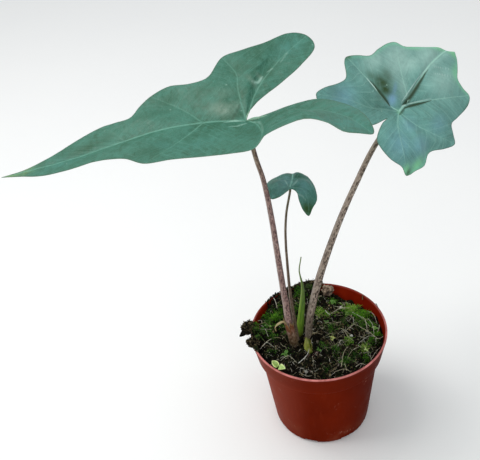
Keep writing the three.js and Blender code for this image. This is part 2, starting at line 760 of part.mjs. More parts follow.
const stems = {
  petiole_left: [petiole(LEFT_PETIOLE, LEFT_LEAF, PETIOLE_TOP.left), COLOURS.petiole],
  petiole_right: [petiole(RIGHT_PETIOLE, RIGHT_LEAF, PETIOLE_TOP.right), COLOURS.petiole],
  petiole_small: [petiole(SMALL_PETIOLE, SMALL_LEAF, PETIOLE_TOP.small), COLOURS.smallPetiole],
  new_leaf: [{ points: NEW_LEAF }, COLOURS.newLeaf],
  side_bud: [{ points: SIDE_BUD }, COLOURS.bud],
};

place('pot', makePot(), COLOURS.pot, 0.45);

const grains = PERLITE.grains.map(([x, y, radius], i) => {
  const { lift, rough, firstSeed } = PERLITE;
  const centre = [x, y, soilTop(x, y) + lift * radius];
  const shape = (reach) => lump([reach, reach, reach], centre, firstSeed + i, { detail: 1, rough });
  return { grain: shape(radius), hollow: shape(radius + GAP) };
});

place('soil', makeSoil([
  ...Object.values(stems).map(([{ points }]) => toManifold(stem(points, { extra: GAP }))),
  toManifold(makeCorm(GAP)),
  ...grains.map(({ hollow }) => toManifold(hollow)),
  ...Object.values(CLODS).map((clod) => makeClod(clod, GAP)),
]), COLOURS.peat, 0.95);
place('corm', makeCorm(), COLOURS.corm, 0.85);

for (const [name, [{ points, cap }, colour]] of Object.entries(stems)) {
  place(name, stem(points, { cap }), colour, 0.5);
}

const evenly = (count) => Array.from({ length: count + 1 }, (_, i) => i / count);
const betweenVeins = [0, 0.09, 0.27, 0.5, 0.73, 0.91, 1];
place('blade_left', makeBlade(LEFT_LEAF, evenly(11), betweenVeins), COLOURS.leftBlade, 0.35);
place('blade_right', makeBlade(RIGHT_LEAF, evenly(10), betweenVeins), COLOURS.rightBlade, 0.35);
place('blade_small', makeBlade(SMALL_LEAF, evenly(6), evenly(4)), COLOURS.smallBlade, 0.35);

for (const [name, clod] of Object.entries(CLODS)) {
  place(name, toGeometry(makeClod(clod).subtract(toManifold(rimRing()))), COLOURS.bark, 0.95);
}
place('dry_sheath', makeSheath(), COLOURS.sheath, 0.8);
place('bark_chip', layOnSoil(lump(CHIP.size, CHIP.centre, CHIP.seed, {
  detail: 1,
  rough: 0.12,
  turn: CHIP.turn,
})), COLOURS.chip, 0.9);
grains.forEach(({ grain }, i) => place(`perlite_${i + 1}`, grain, COLOURS.perlite, 0.9));
place('seedling', makeSeedling(), COLOURS.seedling, 0.5);

export default plant;
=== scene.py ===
"""Looks of the potted batwing alocasia: leaves, mottled stalks, mossy peat and a plastic nursery pot."""

import math

import bmesh
import bpy
import numpy as np
from mathutils import Matrix, Vector, kdtree, noise


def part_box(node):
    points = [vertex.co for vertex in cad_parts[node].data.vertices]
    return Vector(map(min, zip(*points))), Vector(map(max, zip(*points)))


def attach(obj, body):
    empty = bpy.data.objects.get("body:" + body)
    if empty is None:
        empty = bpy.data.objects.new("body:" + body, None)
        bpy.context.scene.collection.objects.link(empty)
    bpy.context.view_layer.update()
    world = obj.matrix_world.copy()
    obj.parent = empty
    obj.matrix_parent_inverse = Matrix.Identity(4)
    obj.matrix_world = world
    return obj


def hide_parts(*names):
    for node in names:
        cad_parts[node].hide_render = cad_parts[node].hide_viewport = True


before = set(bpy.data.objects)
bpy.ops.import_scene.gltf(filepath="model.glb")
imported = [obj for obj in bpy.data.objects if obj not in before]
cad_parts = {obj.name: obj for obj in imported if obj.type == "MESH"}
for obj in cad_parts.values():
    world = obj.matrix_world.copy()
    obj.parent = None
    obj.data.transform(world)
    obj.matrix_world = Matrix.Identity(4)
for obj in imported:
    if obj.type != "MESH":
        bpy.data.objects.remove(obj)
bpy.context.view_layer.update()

# Lengths of meshes are in millimetres and are turned into metres when a mesh is made. Cameras,
# lights and the shaders' object coordinates are in metres.
MM = 0.001
draw = np.random.default_rng(41)

# About a full turn, as the random turns are drawn.
TURN, FINE_TURN = 6.28, 6.2832

# The camera looks down at this angle, and these are its ways up and back, before its roll.
ELEVATION = math.radians(37.4)
UPRIGHT = (0, math.sin(ELEVATION), math.cos(ELEVATION))
BACK = (0, -math.cos(ELEVATION), math.sin(ELEVATION))


def polar(radius, angle):
    return radius * math.cos(angle), radius * math.sin(angle)


def unit(vector):
    return vector / np.linalg.norm(vector)


def rolled(first, second, angle):
    """Two directions at right angles, turned in their plane."""
    c, s = polar(1, angle)
    return c * first + s * second, c * second - s * first


# Camera and light
def place_camera(place, roll):
    right, up = rolled(Vector((1, 0, 0)), Vector(UPRIGHT), roll)
    camera = bpy.data.objects.new("camera", bpy.data.cameras.new("camera"))
    camera.matrix_world = Matrix((*zip(right, up, BACK, place), (0, 0, 0, 1)))
    camera.data.sensor_fit = "HORIZONTAL"
    camera.data.sensor_width = 36
    camera.data.lens = 56.25
    bpy.context.scene.collection.objects.link(camera)
    bpy.context.scene.camera = camera


def place_light(name, place, target, size, power, colour):
    light = bpy.data.lights.new(name, "AREA")
    light.size = size
    light.energy = power
    light.color = colour
    lamp = bpy.data.objects.new(name, light)
    lamp.location = place
    lamp.rotation_euler = (Vector(target) - Vector(place)).to_track_quat("-Z", "Y").to_euler()
    bpy.context.scene.collection.objects.link(lamp)


def linear(hex_colour):
    """An RGBA colour from six sRGB hex digits."""
    channels = [int(hex_colour[i:i + 2], 16) / 255 for i in (0, 2, 4)]
    return (*(c / 12.92 if c <= 0.04045 else ((c + 0.055) / 1.055) ** 2.4 for c in channels), 1.0)


# Materials
class Shade:
    """One material's node tree, with the colour so far, which each tone is laid over."""

    def __init__(self, name, specular, **fixed):
        self.material = bpy.data.materials.new(name)
        self.material.use_nodes = True
        self.tree = self.material.node_tree
        self.tree.nodes.clear()
        self.surface = self.tree.nodes.new("ShaderNodeBsdfPrincipled")
        output = self.tree.nodes.new("ShaderNodeOutputMaterial")
        self.tree.links.new(self.surface.outputs[0], output.inputs["Surface"])
        for socket, value in {"Specular_IOR_Level": specular, **fixed}.items():
            self.surface.inputs[socket.replace("_", " ")].default_value = value

    def put(self, socket, value):
        if isinstance(value, bpy.types.NodeSocket):
            self.tree.links.new(value, socket)
        else:
            socket.default_value = value

    def add(self, kind, inputs=(), **settings):
        node = self.tree.nodes.new("ShaderNode" + kind)
        for key, value in settings.items():
            setattr(node, key, value)
        for key, value in dict(inputs).items():
            self.put(node.inputs[key], value)
        return node

    def place(self):
        return self.add("TexCoord").outputs["Object"]

    def mask(self, name):
        return self.add("Attribute", attribute_name=name).outputs["Fac"]

    def vector(self, name):
        return self.add("Attribute", attribute_name=name).outputs["Vector"]

    def stretched(self, vector, z, y=1):
        return self.add("Mapping", {"Vector": vector, "Scale": (1, y, z)}).outputs[0]

    def noise(self, vector, scale, detail=3, rough=0.55, distortion=0):
        inputs = {"Vector": vector, "Scale": scale, "Detail": detail, "Roughness": rough}
        return self.add("TexNoise", {**inputs, "Distortion": distortion}).outputs["Fac"]

    def cells(self, vector, scale, feature="F1"):
        return self.add("TexVoronoi", {"Vector": vector, "Scale": scale}, feature=feature).outputs["Distance"]

    def maths(self, operation, a, b=0.0):
        return self.add("Math", {0: a, 1: b}, operation=operation).outputs[0]

    def times(self, a, b):
        return self.maths("MULTIPLY", a, b)

    def step(self, value, low, high, start=0.0, end=1.0):
        """A smooth change from start to end while value goes from low to high."""
        inputs = {"Value": value, "From Min": low, "From Max": high, "To Min": start, "To Max": end}
        return self.add("MapRange", inputs, interpolation_type="SMOOTHSTEP").outputs[0]

    def blend(self, share, first, second):
        return self.add("Mix", {0: share, 6: first, 7: second}, data_type="RGBA").outputs[2]

    def tint(self, tone, value, low=None, high=None, most=1.0):
        """Lays a tone over the colour so far by value, or by a step of value up to most."""
        share = value if low is None else self.step(value, low, high, 0, most)
        self.colour = self.blend(share, self.colour, linear(tone) if isinstance(tone, str) else tone)

    def ramp(self, value, *stops):
        node = self.add("ValToRGB", {"Fac": value})
        elements = node.color_ramp.elements
        while len(elements) < len(stops):
            elements.new(1)
        for element, (position, colour) in zip(elements, stops):
            element.position = position
            element.color = linear(colour)
        return node.outputs["Color"]

    def bumps(self, *layers):
        """Height layers of (height, distance in metres), one over the other."""
        under = {}
        for height, distance in layers:
            normal = self.add("Bump", {"Height": height, "Distance": distance, "Strength": 1.0, **under}).outputs[0]
            under = {"Normal": normal}
        self.put(self.surface.inputs["Normal"], normal)

    def finish(self, rough):
        self.put(self.surface.inputs["Base Color"], self.colour)
        self.put(self.surface.inputs["Roughness"], rough)
        return self.material


def plastic_material():
    shade = Shade("red_plastic", 0.03, IOR=1.16)
    place = shade.place()
    broad = shade.noise(place, 22)
    streaks = shade.noise(shade.stretched(place, 0.12), 260)
    shade.colour = shade.ramp(broad, (0.25, "5c1504"), (0.5, "661905"), (0.75, "701d07"))
    shade.tint("7a2610", streaks, 0.5, 0.8, 0.3)
    split = shade.add("SeparateXYZ", {"Vector": place})
    height = split.outputs[2]
    # Painted highlight: the left side of the pot is lighter, where the key light falls.
    shade.tint("9c4c3c", split.outputs[0], -0.014, -0.054, 0.56)
    # Painted shade: the right side of the pot is darker, away from the key light.
    shade.tint("4c1206", split.outputs[0], 0.0, 0.045, 0.75)
    # Painted light: a brighter red for the inner wall, laid on two lines below, to lift the shade inside the pot.
    inside = shade.blend(shade.step(broad, 0.4, 0.6), linear("7e1a07"), linear("92240c"))
    # Painted shade: darker towards the top of the collar, which faces up into the light.
    shade.tint("4c1206", height, 0.08, 0.092, 0.3)
    shade.tint(inside, shade.mask("within"))
    # Painted highlight: a patchy pink highlight along the lip, strongest at the front.
    lip = shade.step(height, 0.1032, 0.1044)
    front = shade.step(split.outputs[1], 0.035, -0.01, 0.12, 1)
    painted_lip_highlight = shade.times(lip, shade.step(shade.noise(place, 160, 4), 0.25, 0.7, 0.5, 1))
    shade.tint("e48f8a", shade.times(painted_lip_highlight, front))
    scratches = shade.noise(shade.stretched(place, 0.3), 900, 2)
    scuffs = shade.step(shade.noise(place, 60, 4, distortion=1), 0.62, 0.78)
    scuffs = shade.times(scuffs, shade.step(scratches, 0.5, 0.65))
    shade.tint("c08a78", shade.times(scuffs, 0.5))
    dust = shade.step(shade.noise(place, 45, 5), 0.45, 0.75)
    low = shade.step(height, 0.03, 0.0, 0, 0.3)
    shade.tint("8c5a44", shade.times(dust, low))
    shade.bumps((broad, 0.0004), (scratches, 0.00005), (streaks, 0.00006))
    return shade.finish(shade.step(shade.noise(place, 90, 4), 0.2, 0.8, 0.3, 0.48))


def peat_material():
    shade = Shade("peat", 0.08)
    place = shade.place()
    grain = shade.noise(place, 420, 6, 0.7)
    broad = shade.noise(place, 60, 4)
    shade.colour = shade.ramp(grain, (0.3, "040403"), (0.48, "0c0a07"), (0.6, "201a12"), (0.78, "554a38"))
    shade.tint("14130b", broad, 0.45, 0.65, 0.6)
    shade.tint("25331a", shade.noise(place, 95, 5, distortion=0.6), 0.55, 0.66, 0.55)
    fleck = shade.step(shade.cells(place, 330), 0.11, 0.05)
    shade.tint("8a7a66", shade.times(fleck, 0.7))
    shade.bumps((broad, 0.002), (grain, 0.0012))
    return shade.finish(shade.step(grain, 0.3, 0.8, 0.95, 0.7))


def crumb_material():
    """Peat crumbs, bark bits and grey grains, told apart by the colour drawn for each."""
    shade = Shade("crumbs", 0.1)
    place = shade.place()
    hue = shade.mask("hue")
    grain = shade.noise(place, 900, 4, 0.7)
    shade.colour = shade.ramp(
        hue, (0.0, "080705"), (0.35, "13100b"), (0.6, "261f15"), (0.75, "54472f"), (0.84, "9a8864"),
        (0.9, "77746a"), (0.95, "d0cabc"), (1.0, "5c2f2a"),
    )
    shade.tint("0b0907", grain, 0.4, 0.65, 0.55)
    algae = shade.step(shade.noise(place, 130), 0.52, 0.6, 0, 0.45)
    dim = shade.step(hue, 0.7, 0.55)
    shade.tint("2c3a1c", shade.times(algae, dim))
    shade.bumps((grain, 0.0006))
    return shade.finish(0.88)


def petiole_material(name, base, blotch_and_shade, foot, top, drop):
    """Smooth stalk skin with dark blotches, browner at its foot and greener towards the blade, with a painted highlight
    down its left side and painted shade down its right side.
    """
    shade = Shade(name, 0.2)
    skin = shade.vector("skin")
    rise = shade.mask("rise")
    wide = shade.noise(shade.stretched(skin, 0.3), 0.42, 3, 0.6, 0.4)
    fine = shade.noise(shade.stretched(skin, 0.42), 1.15, 2, 0.5)
    shade.colour = shade.ramp(shade.noise(skin, 0.15, 4), (0.3, base[0]), (0.5, base[1]), (0.7, base[2]))
    shade.tint(top, rise, 0.72, 1.0, 0.75)
    shade.tint(foot, rise, 0.21, 0.12, 0.75)
    shade.tint("d2beb6", shade.noise(shade.stretched(skin, 0.3), 1.3, 2), 0.54, 0.7, 0.45)
    side = shade.mask("side")
    # Painted highlight down the left side and painted shade, in the blotch tone, down the right side.
    shade.tint("c4b2a8", side, -0.4, -0.95, 0.45)
    shade.tint(blotch_and_shade, side, 0.45, 1.0, 0.5)
    most = shade.times(shade.step(side, -0.8, 0.3, 0.45, 1), shade.step(rise, 0.07, 0.2, 0.4, 1))
    shade.tint(blotch_and_shade, shade.times(shade.step(wide, 0.54, 0.62, 0, 0.4), most))
    shade.tint(blotch_and_shade, shade.times(shade.step(fine, 0.52, 0.58, 0, 0.8), most))
    drops = shade.cells(shade.stretched(skin, 0.45), 0.6)
    drops = shade.times(shade.step(drops, 0.46, 0.36, 0, drop), most)
    shade.tint(blotch_and_shade, drops)
    lines = shade.noise(shade.stretched(skin, 0.05), 2.4, 2)
    shade.bumps((lines, 0.00025), (wide, 0.0002))
    return shade.finish(shade.step(fine, 0.3, 0.7, 0.42, 0.56))


def leaf_material(name, tones, line, gold, edge_tone, under, gloss, mottle=1.0):
    """A waxy blade. Its mesh carries distances and soft masks that place each tone."""
    shade = Shade(name, 0.35)
    # Among the tones, the dark patch tone is also painted shade, the bloom tone also painted sheen, the sky tone a
    # painted reflection of the sky and the groove tone painted shade in the vein grooves.
    deep, middle, light, cloud, dark_patch_and_shade, bloom_and_sheen, skylight, groove_shade, glint = tones
    lay = shade.vector("lay")
    broad = shade.noise(lay, 0.035, 4, 0.55, 0.5)
    fine = shade.noise(lay, 0.22, 5, 0.6)
    speck = shade.noise(lay, 0.9, 4, 0.6)
    shade.colour = shade.ramp(broad, (0.3, deep), (0.5, middle), (0.7, light))
    shade.tint(cloud, fine, 0.42, 0.62, 0.5 * mottle)
    patch = shade.noise(shade.stretched(lay, 1, 0.6), 0.1, 4, 0.6, 0.8)
    shade.tint(dark_patch_and_shade, patch, 0.54, 0.62, 0.4 * mottle)
    along = shade.noise(shade.vector("streak"), 0.34, 3, 0.6)
    shade.tint(cloud, along, 0.52, 0.66, 0.45)
    shade.tint(deep, along, 0.48, 0.36, 0.35)
    shade.tint(deep, speck, 0.52, 0.68, 0.35)

    # Side veins and the fine net between them
    off = shade.maths("ABSOLUTE", shade.maths("SUBTRACT", shade.maths("FRACT", shade.mask("phase")), 0.5))
    side = shade.step(off, 0.455, 0.495)
    net = shade.cells(shade.stretched(lay, 0.2), 0.55, "DISTANCE_TO_EDGE")
    mesh_line = shade.step(net, 0.09, 0.02)
    shade.tint(line, shade.times(side, 0.28))
    shade.tint(line, shade.times(mesh_line, 0.1))

    ragged = shade.step(fine, 0.3, 0.6, 1 - 0.55 * mottle, 1.0)
    # Soft spots lay painted sheen with the waxy bloom, a painted reflection of the sky, yellower gold patches and dark
    # patches with painted shade.
    for mask, tone in (("bloom_and_sheen", bloom_and_sheen), ("skylight", skylight), ("gold", gold), ("dark_patch_and_shade", dark_patch_and_shade)):
        shade.tint(tone, shade.times(shade.mask(mask), ragged))
    shade.tint(edge_tone, shade.mask("border"))
    # Painted shade in the vein grooves.
    shade.tint(groove_shade, shade.mask("groove_shade"))
    shade.tint(line, shade.mask("vein"))
    shade.tint(glint, shade.times(shade.mask("shine"), shade.step(fine, 0.3, 0.6, 0.6, 1.0)))
    shade.tint("46604a", shade.mask("rim"), 0.75, 0.15, 0.75)
    pits = shade.step(shade.cells(lay, 0.11), 0.09, 0.05)
    rare = shade.step(shade.noise(lay, 0.06, 2), 0.55, 0.62)
    pits = shade.times(shade.times(pits, rare), 0.5)
    shade.tint("9fc4b2", pits)
    pale = shade.blend(shade.step(fine, 0.3, 0.7, 0, 0.5), linear(under), linear(line))
    shade.tint(pale, shade.mask("under"))
    shade.bumps((broad, 0.0009), (fine, 0.00035), (side, 0.00012), (mesh_line, 0.00006), (speck, 0.00008))
    return shade.finish(shade.step(fine, 0.25, 0.75, gloss, gloss + 0.16))


def fresh_material(name, stops, tip, line_and_highlight):
    """Young tissue: bright, with long faint lines, its tones changing from foot to tip, a paler tone down its left side
    as a painted highlight and a darker tone down its right side as painted shade, also laid in mottles.
    """
    shade = Shade(name, 0.5, Subsurface_Weight=0.12, Subsurface_Radius=(0.2, 0.4, 0.1),
                  Subsurface_Scale=0.004)
    skin = shade.vector("skin")
    rise = shade.mask("rise")
    shade.colour = shade.ramp(rise, *stops)
    side = shade.mask("side")
    # Painted highlight down the left side and painted shade down the right side.
    shade.tint(line_and_highlight, side, -0.25, -0.9, 0.7)
    shade.tint(tip, side, 0.2, 0.95, 0.75)
    lines = shade.noise(shade.stretched(skin, 0.06), 1.6)
    shade.tint(line_and_highlight, lines, 0.42, 0.62, 0.4)
    mottle = shade.noise(skin, 0.9, 4)
    shade.tint(tip, mottle, 0.55, 0.7, 0.35)
    shade.tint("a48a58", shade.mask("rim"), 0.3, 0.05, 0.8)
    shade.bumps((lines, 0.0003), (mottle, 0.0002))
    return shade.finish(shade.step(mottle, 0.3, 0.7, 0.36, 0.5))


def papery_material(name, stops, dark):
    """Dry plant matter: long fibres, dark flecks and torn edges."""
    shade = Shade(name, 0.3)
    place = shade.place()
    fibres = shade.noise(shade.stretched(place, 0.18), 900, 4, 0.6)
    blot = shade.noise(place, 330, 4)
    shade.colour = shade.ramp(blot, *stops)
    shade.tint(dark, fibres, 0.5, 0.66, 0.6)
    shade.bumps((fibres, 0.0004), (blot, 0.0005))
    return shade.finish(shade.step(fibres, 0.3, 0.7, 0.6, 0.85))


def sheath_material():
    """The dry sheath: olive in the soil, tan, then rusty brown at its torn edge."""
    shade = Shade("sheath_paper", 0.3)
    skin = shade.vector("skin")
    blot = shade.noise(shade.stretched(skin, 0.5), 0.7, 4)
    fibres = shade.noise(shade.stretched(skin, 0.08), 2.6)
    shade.colour = shade.ramp(
        shade.mask("rise"), (0.0, "46402a"), (0.22, "6a573c"), (0.5, "846a54"), (0.7, "7e523a"),
        (0.88, "884a22"), (1.0, "aa9a70"),
    )
    flat = shade.step(shade.mask("rise"), 1.0, 0.96)
    shade.tint("4a2a18", shade.times(shade.step(blot, 0.5, 0.6, 0, 0.8), flat))
    shade.tint("a8968a", blot, 0.46, 0.36, 0.55)
    shade.tint("3c2a1a", fibres, 0.5, 0.66, 0.45)
    shade.tint("b39a66", shade.mask("rim"), 0.25, 0.0, 0.6)
    shade.bumps((fibres, 0.0003), (blot, 0.0003))
    return shade.finish(shade.step(fibres, 0.3, 0.7, 0.55, 0.8))


def herb_material():
    """Small soft leaves with a pale margin, from dark green to yellow by the tone of each."""
    shade = Shade("herb_leaf", 0.35, Subsurface_Weight=0.15,
                  Subsurface_Radius=(0.2, 0.4, 0.1), Subsurface_Scale=0.002)
    tone, rim, place = shade.mask("tone"), shade.mask("rim"), shade.place()
    cloud = shade.noise(place, 420, 4)
    middle = shade.ramp(
        tone, (0.0, "24401c"), (0.35, "4a7a2c"), (0.6, "7f9c44"), (0.8, "bedc86"), (1.0, "d4d66a"),
    )
    margin = shade.ramp(
        tone, (0.0, "35582a"), (0.35, "74a048"), (0.6, "e4f0a4"), (0.8, "e2f2a8"), (1.0, "ece890"),
    )
    shade.colour = shade.blend(shade.step(rim, 0.5, 0.12), middle, margin)
    shade.tint("5c7c34", cloud, 0.48, 0.66, 0.5)
    shade.tint(margin, shade.noise(place, 1500), 0.5, 0.7, 0.3)
    shade.bumps((cloud, 0.0003))
    return shade.finish(shade.step(cloud, 0.3, 0.7, 0.4, 0.6))


def moss_material():
    shade = Shade("moss", 0.12)
    hue = shade.mask("hue")
    shade.colour = shade.ramp(
        hue, (0.0, "121c0c"), (0.25, "243a18"), (0.5, "40702a"), (0.7, "68b41e"), (0.88, "8cc636"),
        (1.0, "cdd086"),
    )
    mottle = shade.noise(shade.place(), 800)
    shade.tint("16240d", mottle, 0.45, 0.7, 0.3)
    sage = shade.step(shade.noise(shade.place(), 150), 0.5, 0.6, 0, 0.5)
    sage = shade.times(sage, shade.step(hue, 0.62, 0.5))
    shade.tint("747c54", sage)
    shade.bumps((mottle, 0.0002))
    return shade.finish(0.6)


def fibre_material():
    shade = Shade("fibres", 0.15)
    hue = shade.mask("hue")
    shade.colour = shade.ramp(
        hue, (0.0, "2a2118"), (0.3, "5f5038"), (0.6, "9d9070"), (0.8, "cbc3a4"), (1.0, "f0eee4"),
    )
    mottle = shade.noise(shade.place(), 500)
    shade.tint("3a3020", mottle, 0.45, 0.7, 0.45)
    shade.bumps((mottle, 0.0002))
    return shade.finish(0.7)


def grain_material():
    shade = Shade("perlite_grain", 0.3)
    place = shade.place()
    pores = shade.cells(place, 1600)
    cloud = shade.noise(place, 700, 4)
    shade.colour = shade.ramp(cloud, (0.3, "b9b6ac"), (0.5, "e6e4dc"), (0.8, "f6f5f0"))
    shade.tint("77756c", shade.mask("hue"))
    shade.tint("8f8c80", pores, 0.3, 0.1, 0.5)
    shade.bumps((pores, 0.0003))
    return shade.finish(0.85)


def floor_material():
    shade = Shade("floor", 0.2)
    cloud = shade.noise(shade.place(), 3)
    shade.colour = shade.ramp(cloud, (0.2, "fafafa"), (0.8, "fdfdfc"))
    return shade.finish(0.9)


# Meshes
def piece(name, points, faces, material, masks=(), replaces=(), ride=True, flat=False):
    """A new mesh object that rides on the root body. Masks hold a number or a vector for each point."""
    mesh = bpy.data.meshes.new(name)
    mesh.from_pydata((np.asarray(points, float) * MM).tolist(), [], faces)
    mesh.polygons.foreach_set("use_smooth", [not flat] * len(mesh.polygons))
    for key, values in dict(masks).items():
        values = np.asarray(values, float)
        kind, field = ("FLOAT", "value") if values.ndim == 1 else ("FLOAT_VECTOR", "vector")
        mesh.attributes.new(key, kind, "POINT").data.foreach_set(field, values.ravel())
    mesh.materials.append(material)
    mesh.validate()
    mesh.update()
    new = bpy.data.objects.new(name, mesh)
    bpy.context.scene.collection.objects.link(new)
    if ride:
        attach(new, "root")
        for node in replaces:
            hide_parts(node)
    return new


def heap(name, parts, keys, material, replaces=(), flat=False):
    """One piece from parts of (points, faces, values), with the values named by keys."""
    faces, start = [], 0
    for part in parts:
        faces += [[v + start for v in face] for face in part[1]]
        start += len(part[0])
    masks = {
        key: np.concatenate([np.broadcast_to(part[i], np.shape(part[i]) or len(part[0])) for part in parts])
        for i, key in enumerate(keys, 2)
    }
    return piece(name, np.vstack([part[0] for part in parts]), faces, material, masks, replaces, flat=flat)


def tidy_mesh(obj, distance):
    """Welds points that coincide and drops faces that have no area left."""
    mesh = bmesh.new()
    mesh.from_mesh(obj.data)
    bmesh.ops.remove_doubles(mesh, verts=mesh.verts, dist=distance * MM)
    bmesh.ops.dissolve_degenerate(mesh, edges=mesh.edges, dist=1e-6)
    bmesh.ops.recalc_face_normals(mesh, faces=mesh.faces)
    mesh.to_mesh(obj.data)
    mesh.free()


def lengths(points, power=1):
    """How far along a path each of its points is, with each step raised to a power."""
    steps = np.linalg.norm(np.diff(points[:, :3], axis=0), axis=1)
    return np.concatenate([[0], np.cumsum(steps ** power)])


def spline(points):
    """A centripetal Catmull-Rom curve through points, as a function of point numbers."""
    p = np.array(points, float)
    last = len(p) - 1
    p = np.vstack([2 * p[0] - p[1], p, 2 * p[-1] - p[-2]])
    knots = lengths(p, 0.5)

    def at(numbers):
        k = np.clip(np.atleast_1d(np.asarray(numbers, float)), 0, last)
        i = np.minimum(k.astype(int), last - 1)
        t0, t1, t2, t3 = (knots[i + j][:, None] for j in range(4))
        a, b, c, d = (p[i + j] for j in range(4))
        t = t1 + (t2 - t1) * (k - i)[:, None]
        ab = (t1 - t) / (t1 - t0) * a + (t - t0) / (t1 - t0) * b
        bc = (t2 - t) / (t2 - t1) * b + (t - t1) / (t2 - t1) * c
        cd = (t3 - t) / (t3 - t2) * c + (t - t2) / (t3 - t2) * d
        abc = (t2 - t) / (t2 - t0) * ab + (t - t0) / (t2 - t0) * bc
        bcd = (t3 - t) / (t3 - t1) * bc + (t - t1) / (t3 - t1) * cd
        return (t2 - t) / (t2 - t1) * abc + (t - t1) / (t2 - t1) * bcd

    return at, last


def walk(curve, start, end, shares, samples=160):
    """Points of curve between two of its numbers, at shares of the way along it."""
    points = curve(np.linspace(start, end, samples))
    way = lengths(points)
    goals = np.asarray(shares) * way[-1]
    return np.stack([np.interp(goals, way, column) for column in points.T], 1), way[-1]


def smooth(value, low, high):
    t = np.clip((value - low) / (high - low), 0, 1)
    return t * t * (3 - 2 * t)


def rough(points, scale, octaves=3):
    """Fractal noise about 0 at each point, with features about scale millimetres wide."""
    return np.array([noise.fractal(Vector(p) / scale, 1.0, 2.0, octaves) for p in points])


# Blades. Each is laid out in its own frame: along the midrib from the petiole, across to the
# left of the midrib, and up from the blade, as the solids are.
LEFT_LEAF = {
    "joint": [-45, -25, 334],
    "turn": [177, -4.6, -8.2],
    "midrib": [[0, 0, 0], [26, -3, 2], [57, -2, 3], [84, 0, 0], [132, 1, -8], [178, -1, -14]],
    "forks": [3, 1.1],
    "right": {
        "margin": [
            [178, -1, -14], [159, -1.5, -11], [141, -6.5, -8], [122, -14.5, -4], [103, -20, 0],
            [92, -20, 2], [80, -19, 5], [73, -27, 7], [65, -34, 9], [52, -41, 10],
            [38, -38.5, 11], [24, -40, 12], [12, -58, 15], [0, -61, 16], [-20, -66, 16],
            [-39, -73, 16], [-50, -67, 15], [-54, -54, 13], [-43, -40, 10], [-27, -28, 6],
            [-10, -16, 3], [-4, -9.5, 1.5], [-1, -5, 1], [0, -1.5, 0],
        ],
        "veins": [
            (0, [[92, -10, 1]], 4),
            (1, [[43, -18, 5]], 8),
            (None, [[3, -27, 8], [3, -40, 11]], 12),
            (None, [[-10, -26, 5], [-28, -48, 11]], 16),
        ],
    },
    "left": {
        "margin": [
            [178, -1, -14], [162, 4, -12], [150, 9, -10], [138, 13, -7], [122, 15, -4],
            [104, 17.5, 1], [91, 21.5, 4], [80, 28.5, 8], [65, 41.5, 12], [48, 44, 14],
            [30, 48.5, 16], [10, 55, 20], [-5.5, 59, 24], [-12, 49, 24], [-26, 43, 25],
            [-38, 44, 28], [-50, 54.5, 31], [-59, 66, 31], [-67, 68, 30], [-75, 67, 27],
            [-76, 53, 24], [-73, 32, 17], [-64, 14, 12], [-48, 1, 9], [-31, -1, 6],
            [-16.5, -0.5, 3], [-8.5, -0.5, 1.5], [-3.5, 0, 0.5], [0, -1.5, 0],
        ],
        "veins": [
            (0, [[96, 10, 1]], 5),
            (1, [[43, 15, 5]], 8),
            (None, [[-6, 8, 3], [-10, 25, 9], [-10, 40, 16]], 12),
            (None, [[-26, 11, 8], [-46, 19, 14], [-63, 38, 20]], 19),
        ],
    },
}

RIGHT_LEAF = {
    "joint": [68.2, 12.1, 305.2],
    "turn": [54, 4.3, 34.5],
    "midrib": [
        [0, 0, 0], [8.5, 0, 1], [17.5, 1, 2], [43, 2, 2], [66.5, 2.5, 1.5], [98, -1.5, -1.5],
        [103, -3.6, -3.6],
    ],
    "forks": [1.2],
    "right": {
        "margin": [
            [103, -3.6, -3.6], [105, -5.8, -3.2], [106.3, -7.9, -2.3], [103, -10.8, -2.2],
            [97.3, -14, -2.2], [87, -18, -1], [74.5, -22.5, 1], [71.5, -29.5, 0],
            [70.5, -37, -1], [63.5, -40, -1], [54.5, -40.5, -1], [37.5, -38.5, 0],
            [27.5, -37.5, 0], [21.5, -42.5, -1], [14.5, -48, -2], [2.5, -43.5, -2],
            [-8.5, -36.5, -2], [-14.5, -35.5, -2], [-21.5, -38.5, -5], [-30.5, -35.5, -7],
            [-37.5, -32.5, -9.5], [-37.5, -25.5, -6], [-40.5, -15.5, -4], [-39.5, -4.5, -2],
            [-37, 0.5, -1], [-22.5, 4.5, 0], [-14, 4, 0],
        ],
        "veins": [
            (0, [[14.5, -3.6, 1.9], [25, -10.2, 2.5], [46, -23, 2]], 8),
            (None, [[0, -18, 1], [5.5, -33.5, 1]], 14),
            (None, [[-12, -4.5, 1], [-25, -13, 2], [-35.5, -22.5, 1]], 20),
        ],
    },
    "left": {
        "margin": [
            [103, -3.6, -3.6], [100.5, -0.7, -3], [98.3, 1.5, -2.2], [94.5, 5.5, -1.2],
            [88, 10.6, -1], [75.5, 20.5, -1], [65.5, 27.5, 0], [61.5, 34.5, 1], [53.5, 38.5, 2],
            [38.5, 41.5, 3], [24.5, 43, 4], [14.5, 51, 4], [7.5, 55.5, 3], [0.5, 54, 4],
            [-13.5, 45.5, 5], [-23, 47, 5], [-36.5, 53, 4], [-44, 54, 3], [-47.5, 49.5, 2],
            [-45.5, 35.5, -1], [-40.5, 21.5, -3], [-28.5, 9.5, -1], [-14, 4, 0],
        ],
        "veins": [
            (0, [[16, 1.5, 2], [35, 16.5, 2], [47, 25.5, 2]], 7),
            (None, [[-1.5, 10.5, 1], [3, 29, 2], [6, 42, 2]], 12),
            (None, [[-8, 8.5, 1], [-20, 18.5, 3], [-28.5, 33, 4]], 17),
        ],
    },
}

